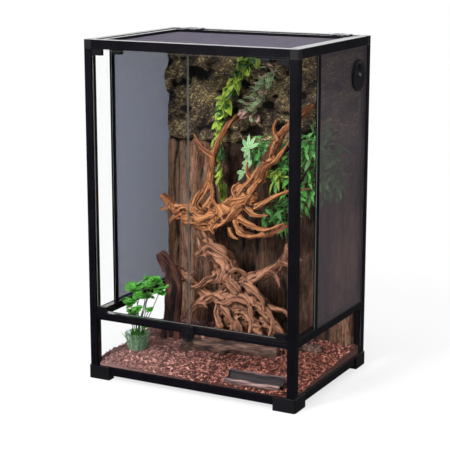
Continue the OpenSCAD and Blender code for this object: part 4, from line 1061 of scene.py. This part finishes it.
class TERRARIUM_OT_background(bpy.types.Operator):
    """Carves the cork bark background"""
    bl_idname = "terrarium.background"
    bl_label = "Cork background"

    def execute(self, context):
        s = settings().wood
        finish = cork_rock("cork_background", tuple(s.cork_dark), tuple(s.cork_brown), tuple(s.cork_ochre),
                           BARK_SPLIT * MM)
        nx, nz = 220, 400
        lumps = [(-250 + i * 62, 640 + 110 * (1 + sind(i * 100)) * 0.9, 20 + 6 * sind(i * 130))
                 for i in range(9)]
        pits = [(-100, 742, 44, 24), (-60, 772, 34, 18), (-205, 792, 42, 18), (-20, 640, 44, 16),
                (80, 655, 36, 18), (190, 700, 36, 18), (40, 800, 34, 14), (150, 640, 30, 16),
                (110, 745, 36, 16), (-150, 640, 32, 12), (-240, 760, 26, 14), (-30, 842, 38, 14),
                (-90, 690, 30, 12), (215, 775, 34, 14)]
        depth = np.zeros((nz + 1, nx + 1))
        for j in range(nz + 1):
            z = lerp(BARK_LOW, BARK_HIGH, j / nz)
            for i in range(nx + 1):
                x = lerp(-BARK_X, BARK_X, i / nx)
                border = BARK_SPLIT + 12 * rough_at((x, 0, 0), 60)
                share = min(1.0, max(0.0, (z - border) / SEAM + 0.5))
                more = 0.0
                if share < 1:
                    wander = 8 * rough_at((x, 3, z * 0.3), 60)
                    ridge = abs(noise.noise(Vector(((x + wander) / 12, 2.3, z / 110)))) * 13 - 3.5
                    flake = ridged((x + wander) / 22, 8.7, z / 55, 3)
                    more += (ridge + (flake - 1.1) * 2.6 + rough_at((x, 7, z / 7), 5) * 1.8) * (1 - share)
                if share > 0:
                    ledge = ridged(x / 80, 1.7, z / 34, 4) - 1.15
                    stone = noise.voronoi(Vector((x / 46, 4.4, z / 30)))[0][0]
                    more += (ledge * 8 + (0.45 - stone) * 17 + rough_at((x, 5, z), 8, 4) * 2.8) * share
                for lx, lz, r in lumps:
                    d = math.hypot(x - lx, (z - lz) * 1.25) / (r * 1.15)
                    if d < 1:
                        more += (1 - d * d) ** 0.8 * r * 0.6
                for px, pz, r, drop in pits:
                    d = math.hypot(x - px, (z - pz) * 1.7) / r * (1 + 0.3 * rough_at((x, 2, z), 15))
                    if d < 1:
                        more -= (1 - d * d) * drop
                if abs(z - border) < SEAM:
                    more -= 10 * (1 - abs(z - border) / SEAM)
                if z > BARK_HIGH - 22:
                    more -= 6 * (1 + rough_at((x, 0, 4), 40)) * (z - BARK_HIGH + 22) / 22
                depth[j, i] = max(8.0, bark_relief(x, z) + more)
        wide = np.pad(depth, 15, mode="edge")
        blurred = np.mean([wide[15 + b:15 + b + nz + 1, 15 + a:15 + a + nx + 1]
                           for a in range(-8, 9, 2) for b in range(-15, 16, 3)], axis=0)
        # Painted shade: how far each point lies below the relief round it, which darkens its colour.
        recess_shading = np.clip((blurred - depth - 1.2) / 7, 0, 1)
        points = [[lerp(-BARK_X, BARK_X, i / nx), GLASS_Y - depth[j, i], lerp(BARK_LOW, BARK_HIGH, j / nz)]
                  for j in range(nz + 1) for i in range(nx + 1)]
        for p in points:
            if p[2] < MID_TOP:
                p[0] = held(p[0], IN_X - 0.5)
        faces, rim = grid_faces(nx, nz), grid_rim(nx, nz)
        rows = [[(held(points[k][0], IN_X - 0.5), y, points[k][2]) for k in rim]
                for y in (IN_Y - 0.4, GLASS_Y)]
        skirt(points, faces, rim, rows, (0, GLASS_Y, (BARK_LOW + BARK_HIGH) / 2))
        shape = Shape()
        shape.add(points, faces)
        piece = shape.make("cork_bark", finish)
        set_number(piece.data, "hollow", np.concatenate([recess_shading.ravel(), np.zeros(shape.count - recess_shading.size)]))
        stand_for(piece, "bark_background")
        return {"FINISHED"}


UPPER_LIMBS = [
    ([(-70, 52, 420), (-100, 50, 412), (-155, 50, 412), (-195, 45, 430), (-235, 40, 465)], 21, 10),
    ([(-165, 50, 410), (-100, 45, 408), (-45, 52, 435), (5, 56, 458), (40, 62, 490)], 21, 27),
    ([(-160, 72, 420), (-90, 76, 424), (-20, 80, 446), (30, 80, 480)], 19, 24),
    ([(-120, 50, 415), (-135, 50, 445), (-110, 60, 485), (-95, 70, 520), (-95, 85, 575), (-80, 100, 630),
      (-45, 110, 680), (-70, 200, 665)], 12, 7),
    ([(-45, 55, 435), (5, 60, 475), (45, 65, 525), (75, 70, 570), (105, 80, 640), (140, 90, 685),
      (165, 200, 730)], 20, 9),
    ([(20, 58, 460), (50, 55, 455), (95, 45, 480), (155, 30, 510), (235, 10, 530)], 10, 3.4),
    ([(5, 55, 440), (5, 40, 400), (35, 30, 380), (105, 25, 390), (160, 30, 420)], 11, 5),
    ([(75, 70, 570), (110, 60, 590), (150, 55, 640)], 9, 4.5),
    ([(-95, 85, 575), (-130, 80, 600), (-150, 70, 640)], 7, 3.5),
    ([(-75, 38, 470), (-55, 36, 440), (-60, 34, 410)], 5, 3.5),
    ([(-10, 40, 470), (30, 40, 480), (60, 46, 520)], 6, 4),
    ([(-190, 46, 428), (-150, 34, 440), (-110, 34, 418), (-60, 32, 425)], 8, 7),
    ([(-150, 60, 395), (-100, 44, 386), (-50, 40, 398), (-20, 36, 420), (20, 34, 452)], 9, 7),
    ([(-100, 40, 440), (-80, 50, 470), (-88, 62, 505)], 8, 5),
    ([(-20, 50, 460), (10, 44, 500), (40, 50, 530), (60, 60, 565)], 10, 6),
    ([(0, 44, 470), (-12, 40, 500), (8, 46, 520)], 6, 3.5),
    ([(30, 44, 450), (60, 34, 436), (100, 30, 442)], 8, 3.5),
    ([(10, 40, 420), (50, 28, 408), (100, 22, 404), (150, 28, 425)], 8, 4),
    ([(-210, 42, 440), (-222, 34, 425), (-238, 30, 432)], 6, 3),
    ([(-178, 44, 415), (-200, 34, 400), (-206, 30, 386)], 6, 3),
    ([(-60, 40, 402), (-72, 30, 386), (-60, 26, 374)], 6, 3),
    ([(-20, 38, 392), (-8, 28, 374), (12, 26, 366)], 6, 3),
    ([(105, 80, 640), (98, 66, 668), (112, 60, 700)], 7, 3),
    ([(45, 58, 520), (30, 44, 548), (36, 38, 580)], 7, 3),
]

LOWER_LIMBS = [
    ([(0, 88, 40), (-4, 84, 125), (-18, 76, 180), (-38, 74, 245), (-62, 76, 295), (-112, 82, 320),
      (-130, 88, 365)], 32, 25),
    ([(-85, 80, 305), (-110, 80, 310), (-140, 65, 295)], 14, 8),
    ([(-30, 80, 200), (-95, 75, 175), (-130, 70, 200), (-160, 60, 230), (-190, 55, 250),
      (-245, 60, 245)], 17, 8),
    ([(-160, 60, 228), (-180, 60, 245), (-220, 50, 215)], 9, 4.5),
    ([(-30, 78, 225), (-10, 75, 230), (55, 65, 260), (110, 60, 290), (140, 60, 330), (145, 60, 360)], 18, 8),
    ([(-40, 78, 200), (-75, 75, 185), (-125, 60, 160), (-155, 55, 125), (-158, 48, 40)], 14, 8),
    ([(-35, 80, 195), (-50, 75, 180), (-65, 55, 140), (-50, 45, 100), (-48, 40, 40)], 13, 9),
    ([(-25, 75, 175), (-20, 50, 140), (15, 35, 100), (18, 28, 40)], 13, 8),
    ([(-15, 80, 180), (0, 75, 175), (40, 50, 140), (72, 44, 100), (84, 42, 40)], 14, 9),
    ([(-10, 80, 205), (15, 80, 200), (75, 60, 160), (132, 52, 110), (156, 50, 40)], 15, 8),
    ([(0, 80, 225), (25, 85, 215), (90, 70, 175), (150, 62, 160), (185, 60, 40)], 10, 5),
    ([(-70, 66, 180), (-40, 62, 196), (0, 62, 196), (40, 64, 180)], 17, 19),
    ([(-30, 60, 150), (0, 58, 160), (40, 58, 150)], 15, 15),
    ([(-70, 80, 100), (-20, 82, 120), (50, 82, 120), (110, 80, 90)], 20, 18),
    ([(-60, 70, 215), (-40, 55, 250), (-15, 60, 270), (15, 66, 262)], 9, 7),
    ([(-75, 62, 190), (-40, 50, 175), (-5, 48, 190), (30, 54, 178)], 9, 6),
    ([(10, 60, 200), (35, 50, 180), (45, 42, 120), (30, 36, 70)], 8, 5),
    ([(60, 60, 185), (95, 50, 165), (110, 44, 140), (100, 40, 95)], 7, 5),
    ([(-70, 66, 290), (-52, 56, 262), (-66, 52, 236), (-100, 56, 222)], 10, 6),
    ([(-110, 80, 318), (-96, 64, 330), (-70, 62, 318)], 8, 5),
    ([(-60, 62, 240), (-92, 50, 236), (-120, 46, 214), (-146, 46, 208)], 9, 5),
    ([(-58, 64, 262), (-30, 56, 240), (-6, 58, 205)], 17, 21),
    ([(-50, 52, 160), (-24, 34, 150), (-6, 30, 122), (-14, 30, 86)], 8, 5),
    ([(20, 58, 235), (48, 48, 224), (74, 46, 200), (84, 46, 172)], 9, 5),
    ([(100, 60, 280), (120, 52, 262), (128, 50, 240)], 6, 3),
    ([(-190, 54, 250), (-196, 44, 232), (-214, 40, 224)], 5, 3),
]


def stray_roots(around, count, seed, spread, drop):
    """Short twisted rootlets that grow out of the given limbs."""
    rng = random.Random(seed)
    made = []
    for _ in range(count):
        path = smooth(rng.choice(around)[0], 6)
        at = path[rng.randrange(2, len(path) - 2)]
        turn = rng.uniform(0, 2 * math.pi)
        step = rng.uniform(0.6, 1.2) * spread
        p1 = at + (math.cos(turn) * step, -abs(math.sin(turn)) * step * 0.35,
                   rng.uniform(-drop, drop * 0.5) * step)
        p2 = p1 + (math.cos(turn + 0.8) * step * 0.8, rng.uniform(-0.15, 0.3) * step,
                   rng.uniform(-drop, drop) * step * 0.8)
        p2[1] = max(p2[1], 16)
        made.append(([tuple(at), tuple(p1), tuple(p2)], rng.uniform(4.2, 6.5), rng.uniform(2.2, 3.4)))
    return made


class TERRARIUM_OT_driftwood(bpy.types.Operator):
    """Grows the two pieces of driftwood"""
    bl_idname = "terrarium.driftwood"
    bl_label = "Driftwood"

    def execute(self, context):
        s = settings().wood
        upper = weathered_wood("driftwood_upper_grain", tuple(s.drift_dark), tuple(s.drift_warm),
                               tuple(s.drift_pale))
        lower = weathered_wood("driftwood_lower_grain", (0.04, 0.015, 0.009), (0.16, 0.064, 0.034),
                               (0.44, 0.21, 0.125))
        voxel = s.voxel / MM
        limbs = UPPER_LIMBS + stray_roots(UPPER_LIMBS[:4], 12, 5, 24, 0.7)
        stand_for(grown_wood("driftwood_limbs", limbs, upper, voxel, 1.28, 4), "driftwood_upper")
        limbs = LOWER_LIMBS + stray_roots(LOWER_LIMBS[2:11], 12, 8, 30, 0.8)
        stand_for(grown_wood("driftwood_roots", limbs, lower, voxel, 1.34, 9), "driftwood_lower")
        return {"FINISHED"}


class TERRARIUM_OT_bark_pieces(bpy.types.Operator):
    """Shapes the standing slab, the lying log with its chunk, and the half log"""
    bl_idname = "terrarium.bark_pieces"
    bl_label = "Bark and logs"

    def execute(self, context):
        slab_finish = weathered_wood("slab_bark", (0.008, 0.003, 0.003), (0.042, 0.013, 0.009),
                                     (0.12, 0.046, 0.03), 0.12)
        log_finish = weathered_wood("log_bark", (0.012, 0.007, 0.006), (0.07, 0.036, 0.028),
                                    (0.2, 0.115, 0.088), 0.16)
        trough_finish = weathered_wood("trough_bark", (0.05, 0.045, 0.06), (0.16, 0.095, 0.09),
                                       (0.46, 0.3, 0.28), 0.1)

        path = smooth([(-198, 20, 34), (-193, 24, 120), (-188, 28, 215), (-203, 24, 268),
                       (-229, 18, 305)], 12)

        def slab_ring(t):
            w = lerp(62, 31, t) * (0.95 + 0.07 * math.sin(t * 17)) * (1 - 0.3 * max(0, t - 0.88) / 0.12)
            k = np.linspace(-1, 1, 15)
            front = [(w / 2 * q, -6.5 - 5 * q * q + 2.2 * rough_at((q * 30, t * 40, 3), 12)) for q in k]
            back = [(w / 2 * q, 6.5 - 5 * q * q) for q in k[::-1]]
            return front + back

        shape = Shape()
        swept_rings(shape, *ringed(path, slab_ring, 2.0))
        piece = shape.make("standing_bark", slab_finish, at_name="grain_at")
        # Painted shade in the creases of the slab, and below in those of the log and the half log.
        set_number(piece.data, "hollow", hollows(piece.data))
        stand_for(piece, "bark_slab")

        def log_ring(t):
            return [((23 - 5 * t) * math.cos(a), (22 - 5 * t) * math.sin(a)) for a in turns(32)]

        shape = Shape()
        swept_rings(shape, *ringed(on_bed((-130, -30), (140, 20), 11, 61), log_ring, 2.6))
        for low, high, r in (((-116, -34, 34), (-108, -26, 78), 24), ((-6, -30, 52), (-2, -40, 60), 9)):
            middle = lerp(np.array(low, float), high, 0.5) + (2, 1, 0)
            tube(shape, smooth([low, middle, high], 5), r, 18, 0.5, 0.3)
        for k in range(4):
            centre = np.array((205 - 26 + 14 * k, 94, bed_z(205, 92) + 12 + 3 * sind(k * 90)))
            rows = []
            for j in range(1, 12):
                tilt = math.pi * j / 12
                outs = [np.array((math.sin(tilt) * math.cos(a), math.sin(tilt) * math.sin(a), math.cos(tilt)))
                        for a in np.linspace(2 * math.pi, 0, 21)[:20]]
                rows.append([centre + 15.5 * (1 + 0.16 * rough_at(20 * out + (50 * k, 0, 0), 14)) * out
                             for out in outs])
            swept_rings(shape, rows, [((q[0] - 200) * MM, q[2] * MM, q[1] * MM) for row in rows for q in row])
        piece = shape.make("fallen_wood", log_finish, at_name="grain_at")
        set_number(piece.data, "hollow", hollows(piece.data))
        stand_for(piece, "floor_wood")

        spots, rows = 21, 41

        def trough_ring(_):
            angles = np.linspace(-84, 106, spots)
            return ([(25 * cosd(a), 25 * sind(a)) for a in angles]
                    + [(18 * cosd(a), 18 * sind(a)) for a in angles[::-1]])

        shape = Shape()
        swept_rings(shape, *ringed(on_bed((96, -194), (248, -180), 19, rows), trough_ring, 1.2, 7))
        piece = shape.make("trough_log", trough_finish, at_name="grain_at")
        # Painted shade inside the half log: its inner faces are darkened, as are its creases.
        inner = np.tile([0.0] * spots + [0.8] * spots, rows)
        recess_shading = np.zeros(len(piece.data.vertices))
        recess_shading[:len(inner)] = inner
        set_number(piece.data, "hollow", np.maximum(recess_shading, hollows(piece.data) * 0.8))
        stand_for(piece, "half_log")
        return {"FINISHED"}


# ------------------------------------------------------------------ leaves

LEAF_THICK = 0.35


def set_leaf(shape, leaf, place, turn, lift, roll, tone):
    """Puts a leaf, drawn along x from its stalk, at a place; angles in degrees."""
    points, faces, at = leaf
    spin = spun(math.radians(turn), math.radians(-lift), math.radians(roll))
    shape.add(np.asarray(points) @ spin.T + np.asarray(place, float), faces, tone, at)


def blade(length, width, widest, droop, fold, n, tip=1.0, wave=0.0):
    """Pointed leaf sheet: points, faces and places (along, across)."""
    points, at = [], []
    cols = 4
    for i in range(n + 1):
        t = i / n
        swell = 0.02
        if 0 < t < 1:
            swell = math.sin(math.pi * t ** (math.log(0.5) / math.log(widest))) ** tip
        for k in range(cols + 1):
            s = 2 * k / cols - 1
            y = s * width / 2 * max(swell, 0.02)
            z = -droop * length * t * t + fold * abs(y) + wave * math.sin(t * 14 + s) * width * 0.05
            points.append((length * t, y, z))
            at.append((t, s, 0))
    return points, grid_faces(cols, n), at


def scalloped(r, rng):
    """Round cupped leaf with a scalloped rim, its stalk in the middle of the disc."""
    rings, spokes, waves = 4, 27, 9
    points, at = [(r * 0.55, 0, 0)], [(0, 0, 0)]
    phase = rng.uniform(0, 6.28)
    for j in range(1, rings + 1):
        q = j / rings
        for k in range(spokes):
            turn = 2 * math.pi * k / spokes
            rim = 1 + 0.09 * math.cos(turn * waves) * q
            points.append((r * 0.55 + r * q * rim * math.cos(turn), r * q * rim * math.sin(turn),
                           r * (0.3 * q * q + 0.07 * math.sin(turn * 3 + phase) * q)))
            at.append((q * 0.6, q * 0.95 if k % 3 else q * 0.6, 0))
    faces = [(0, 1 + k, 1 + (k + 1) % spokes) for k in range(spokes)]
    for j in range(rings - 1):
        a, b = 1 + j * spokes, 1 + (j + 1) * spokes
        faces += [(a + k, b + k, b + (k + 1) % spokes, a + (k + 1) % spokes) for k in range(spokes)]
    return points, faces, at


def thickened(piece):
    """Gives leaf sheets their thickness."""
    skin = piece.modifiers.new("thickness", "SOLIDIFY")
    skin.thickness = LEAF_THICK * MM
    skin.offset = 0
    applied(piece)
    piece.data.shade_smooth()
    return piece


CUP = (-240.0, -90.0)
CUP_HIGH, CUP_WALL = 54.0, 1.6


class TERRARIUM_OT_potted_plant(bpy.types.Operator):
    """Plants the round-leaved plant in its clear fluted cup"""
    bl_idname = "terrarium.potted_plant"
    bl_label = "Potted plant"

    def execute(self, context):
        s = settings().leaves
        rng = random.Random(3)
        base_z = bed_z(*CUP) - 8
        shape = Shape()
        rings = []
        for t, wall in [(k / 10, 0) for k in range(11)] + [(1 - k / 10, CUP_WALL) for k in range(10)]:
            z = base_z + wall + (CUP_HIGH - wall) * t
            r = lerp(24.6, 34, t) - wall
            rings.append([(CUP[0] + r * (1 + 0.06 * math.cos(12 * a)) * math.cos(a),
                           CUP[1] + r * (1 + 0.06 * math.cos(12 * a)) * math.sin(a), z) for a in turns(96)])
        swept_rings(shape, np.array(rings))
        f = Finish("clear_cup")
        haze = f.mottle(f.place(), 60, 3, 0.6)
        skin = f.surface(colour=f.mixed(f.grade(haze, 0.3, 0.7), (0.5, 0.66, 0.5), (0.3, 0.46, 0.32)),
                         roughness=f.grade(haze, 0.3, 0.7, 0.08, 0.2), specular=0.6,
                         normal=f.bump(haze, 0.0008, 0.6))
        finish = f.shown(f.blend(0.16 + f.facing() ** 2 * 0.7, f.see_through((0.9, 0.97, 0.92)), skin))
        cup = shape.make("fluted_cup", finish)
        stand_for(cup, "plant_cup")

        green = leaf_skin("round_leaf_green", scaled(s.bright, 0.14), tuple(s.bright),
                          tuple(min(1, c * 1.6 + 0.07) for c in s.bright), speckle=0.85)
        shape = Shape()
        foot = base_z + 2.4
        tube(shape, [(*CUP, foot + 0.5), (*CUP, foot + 12), (CUP[0] + 1, CUP[1], foot + 24)],
             [19, 16, 6], 14, 0.15, 0.2)
        tips = [((-242, -100, 232), 20, 14), ((-205, -96, 262), 13, 4), ((-190, -104, 176), 11, 4),
                ((-220, -104, 214), 18, 11), ((-178, -100, 258), 18, 10), ((-160, -98, 234), 17, 10),
                ((-196, -104, 242), 15, 8), ((-246, -112, 190), 17, 10), ((-226, -112, 178), 14, 6),
                ((-206, -112, 130), 12, 6), ((-262, -78, 150), 13, 7), ((-255, -100, 160), 11, 5),
                ((-215, -70, 205), 13, 5)]
        stems, leaves = Shape(), Shape()
        for k, (tip, r, count) in enumerate(tips):
            tip = np.array(tip, float)
            low = np.array((CUP[0] + 9 * cosd(k * 47), CUP[1] + 9 * sind(k * 47), foot + 16))
            bend = lerp(low, tip, 0.55) + (6 * sind(k * 90), 5 * cosd(k * 70), 10)
            tube(stems, smooth([low, bend, tip], 6), 1.1, 6, 0.1)
            for _ in range(int(count * 1.6)):
                spread = 0.5 + 0.8 * rng.random()
                off = np.array((rng.uniform(-1, 1) * r * spread, rng.uniform(-0.8, 0.8) * r * spread,
                                rng.uniform(-0.9, 0.5) * r))
                leaf = scalloped(r * rng.uniform(0.5, 0.78), rng)
                set_leaf(leaves, leaf, tip + off * 0.62, rng.uniform(200, 340), rng.uniform(-35, 20),
                         rng.uniform(-30, 30), rng.uniform(0.0, 1.0))
        for _ in range(120):
            low = (CUP[0] + rng.uniform(-15, 15), CUP[1] + rng.uniform(-15, 15), foot + rng.uniform(6, 26))
            leaf = blade(rng.uniform(20, 52), rng.uniform(4, 10), 0.4, 0.1, 0.3, 5)
            set_leaf(leaves, leaf, low, rng.uniform(0, 360), rng.uniform(52, 86), 0, rng.uniform(0, 0.6))
        sheets = thickened(leaves.make("round_leaves", green))
        dark = leaf_skin("stem_green", (0.008, 0.03, 0.006), (0.03, 0.1, 0.015), (0.05, 0.14, 0.03))
        stalks = stems.make("round_leaf_stems", dark)
        root = shape.make("round_leaf_root", dark)
        for piece in (sheets, stalks, root):
            stand_for(piece, "round_leaf_plant")
        return {"FINISHED"}


class TERRARIUM_OT_vine(bpy.types.Operator):
    """Hangs the yellow-green vine down the background"""
    bl_idname = "terrarium.vine"
    bl_label = "Vine"

    def execute(self, context):
        s = settings().leaves
        rng = random.Random(7)
        path = smooth([(-20, 186, 850), (-30, 150, 832), (-75, 142, 745), (-104, 140, 671), (-108, 140, 570),
                       (-95, 140, 457)], 10)
        leaves, dark_leaves, stems = Shape(), Shape(), Shape()
        tube(stems, path, 1.5, 6, 0.4)
        for k in range(3, len(path)):
            wide = 1 - 0.6 * k / len(path)
            for _ in range(4 if k < len(path) * 0.55 else 2):
                length = rng.uniform(20, 31) * (0.75 + 0.35 * wide)
                leaf = blade(length, length * 0.8, 0.33, 0.3, 0.22, 7, 0.75, 0.6)
                at_stem = path[k] + (rng.uniform(-17, 17) * wide, rng.uniform(-5, 1), rng.uniform(-6, 6))
                set_leaf(leaves if rng.random() < 0.8 else dark_leaves, leaf, at_stem,
                         270 + rng.uniform(-95, 95), rng.uniform(-62, 12), rng.uniform(-45, 45),
                         rng.uniform(0.2, 1.0))
        for k in range(4):
            strand = smooth([(-16 - 10 * k, 170, 838), (-48 - 12 * k, 152 + 3 * k, 770),
                             (-92 - 8 * k, 150, 690 - 10 * k), (-108 + 6 * k, 152, 600 - 14 * k)], 10)
            tube(dark_leaves, strand, 1.3, 5, 0.1)
            for spot in strand[4:]:
                leaf = blade(rng.uniform(9, 15), 6, 0.4, 0.2, 0.2, 4)
                set_leaf(dark_leaves, leaf, spot, rng.uniform(180, 360), rng.uniform(-60, 30), 0,
                         rng.random())
        lime = leaf_skin("vine_lime", (0.07, 0.16, 0.015), tuple(s.lime), (0.6, 0.72, 0.16))
        sheets = thickened(leaves.make("vine_leaves", lime))
        stalk = stems.make("vine_stem", lime)
        dark = leaf_skin("vine_dark", (0.006, 0.025, 0.008), (0.03, 0.12, 0.02), (0.06, 0.2, 0.04))
        under = thickened(dark_leaves.make("vine_under_leaves", dark))
        for piece in (sheets, stalk, under):
            stand_for(piece, "pothos_vine")
        return {"FINISHED"}


class TERRARIUM_OT_mixed_leaves(bpy.types.Operator):
    """Sets the small green and pink leaves in front of the rocks"""
    bl_idname = "terrarium.mixed_leaves"
    bl_label = "Green and pink leaves"

    def execute(self, context):
        s = settings().leaves
        rng = random.Random(19)
        greens, pinks, stems = Shape(), Shape(), Shape()
        for k in range(6):
            root = np.array((-15 + 12 * k, 196, 700 + 18 * k), float)
            tip = np.array((-22 + 15 * k, 138, 688 + 25 * k), float)
            path = smooth([root, lerp(root, tip, 0.5) + (0, 0, 6), tip], 5)
            tube(stems, path, 1.2, 6, 0.2)
            for _ in range(17):
                at_stem = path[rng.randrange(3, len(path))] + (rng.uniform(-17, 17), rng.uniform(-6, 4),
                                                               rng.uniform(-15, 15))
                length = rng.uniform(18, 28)
                leaf = blade(length, length * 0.62, 0.45, 0.15, 0.2, 5, 0.7)
                set_leaf(pinks if rng.random() < 0.27 else greens, leaf, at_stem, 270 + rng.uniform(-90, 90),
                         rng.uniform(-45, 30), rng.uniform(-40, 40), rng.uniform(0, 1))
        green = leaf_skin("mixed_leaf_green", (0.03, 0.09, 0.03), (0.17, 0.4, 0.12), (0.66, 0.72, 0.46),
                          0.5, 0.7)
        pink = leaf_skin("mixed_leaf_pink", (0.2, 0.08, 0.07), tuple(s.pink), (0.8, 0.6, 0.5), 0.5, 0.7)
        pieces = [thickened(greens.make("mixed_leaves_green", green)),
                  thickened(pinks.make("mixed_leaves_pink", pink)),
                  stems.make("mixed_leaf_stems", green)]
        for piece in pieces:
            stand_for(piece, "variegated_plant")
        return {"FINISHED"}


class TERRARIUM_OT_finger_leaves(bpy.types.Operator):
    """Sets the pale lobed leaves and the bushy foliage on the right"""
    bl_idname = "terrarium.finger_leaves"
    bl_label = "Lobed leaves and foliage"

    def execute(self, context):
        s = settings().leaves
        rng = random.Random(23)
        pale, bush, lime, stems = Shape(), Shape(), Shape(), Shape()

        def stalk(tip):
            tip = np.array(tip, float)
            root = np.array((tip[0] + 20, 200, tip[2] + 25))
            tube(stems, smooth([root, lerp(root, tip, 0.5) + (0, 0, 14), tip], 5), 1.5, 6, 0.3)

        def turned(points, degrees, axis):
            return points @ np.array(Matrix.Rotation(math.radians(degrees), 3, axis)).T

        for tip, size, lean, lobes, middle, step in (
                ((29, 62, 611), 47, -8, 7, 150, 38), ((36, 60, 570), 48, -25, 5, 178, 24),
                ((14, 64, 546), 42, -10, 2, 206, 34), ((60, 84, 600), 38, -20, 5, 120, 40)):
            stalk(tip)
            for j in range(lobes):
                off = j - (lobes - 1) / 2
                length = size * (1 - 0.09 * abs(off))
                points, faces, at = blade(length, length * 0.29, 0.5, 0.22, 0.3, 7, 0.9)
                fanned = turned(np.array(points), middle + off * step, "Z")
                face_on = turned(turned(fanned, 90 + lean, "X"), -18, "Z")
                pale.add(face_on + tip, faces, rng.uniform(0.45, 1.0), at)
        clumps = [(bush, (56, 92, 614), 26, 34), (bush, (59, 110, 560), 44, 44),
                  (bush, (88, 84, 450), 36, 34), (bush, (130, 90, 425), 32, 32),
                  (bush, (150, 96, 465), 34, 34), (bush, (173, 116, 600), 46, 60),
                  (bush, (166, 120, 500), 38, 44), (bush, (240, 116, 520), 38, 50),
                  (bush, (250, 120, 600), 44, 64), (bush, (110, 110, 560), 38, 44),
                  (bush, (215, 124, 650), 40, 44), (bush, (262, 124, 555), 36, 40),
                  (lime, (104, 82, 546), 22, 22)]
        for leaves, centre, spread, count in clumps:
            stalk(centre)
            for _ in range(count):
                spot = np.array(centre) + (rng.gauss(0, 0.5) * spread, rng.gauss(0, 0.3) * spread * 0.8,
                                           rng.gauss(0, 0.5) * spread)
                spot[0] = min(spot[0], 268)
                spot[1] = min(max(spot[1], 60), 160)
                length = rng.uniform(26, 44)
                leaf = blade(length, length * 0.27, 0.42, 0.3, 0.3, 5)
                set_leaf(leaves, leaf, spot, rng.uniform(180, 360), rng.uniform(-70, 35),
                         rng.uniform(-50, 50), rng.uniform(0, 1))
        mint = leaf_skin("lobed_leaf_mint", (0.02, 0.11, 0.03), tuple(s.mint), (0.5, 0.68, 0.4), 0.42, 0.7)
        green = leaf_skin("foliage_green", (0.008, 0.045, 0.014), tuple(s.foliage), (0.2, 0.5, 0.12))
        sunny = leaf_skin("foliage_lime", (0.06, 0.13, 0.01), (0.3, 0.44, 0.035), (0.5, 0.62, 0.12))
        pieces = [thickened(pale.make("lobed_leaves", mint)),
                  thickened(bush.make("bushy_foliage", green)),
                  thickened(lime.make("sunlit_foliage", sunny)), stems.make("foliage_stems", green)]
        for piece in pieces:
            stand_for(piece, "finger_leaf_plant")
        return {"FINISHED"}


class TERRARIUM_PT_pieces(bpy.types.Panel):
    """Lists the terrarium's pieces and their settings"""
    bl_idname = "TERRARIUM_PT_pieces"
    bl_label = "Reptile Terrarium"
    bl_space_type = "VIEW_3D"
    bl_region_type = "UI"
    bl_category = "Terrarium"

    def draw(self, context):
        for step in STEPS:
            self.layout.operator(step.bl_idname)
        s = settings()
        for group in (s.enclosure, s.bedding, s.wood, s.leaves, s.stage):
            box = self.layout.box()
            for name in group.__annotations__:
                box.prop(group, name)


STEPS = (TERRARIUM_OT_stage, TERRARIUM_OT_bars, TERRARIUM_OT_panes, TERRARIUM_OT_screens,
         TERRARIUM_OT_bedding, TERRARIUM_OT_background, TERRARIUM_OT_driftwood,
         TERRARIUM_OT_bark_pieces, TERRARIUM_OT_potted_plant, TERRARIUM_OT_vine,
         TERRARIUM_OT_mixed_leaves, TERRARIUM_OT_finger_leaves)
CLASSES = (EnclosureSettings, BeddingSettings, WoodSettings, LeafSettings, StageSettings, TerrariumSettings,
           *STEPS, TERRARIUM_PT_pieces)


def register():
    for kind in CLASSES:
        bpy.utils.register_class(kind)
    bpy.types.Scene.terrarium = PointerProperty(type=TerrariumSettings)


def unregister():
    del bpy.types.Scene.terrarium
    for kind in reversed(CLASSES):
        bpy.utils.unregister_class(kind)


def main():
    register()
    for step in STEPS:
        group, name = step.bl_idname.split(".")
        getattr(getattr(bpy.ops, group), name)()


if __name__ == "__main__":
    main()
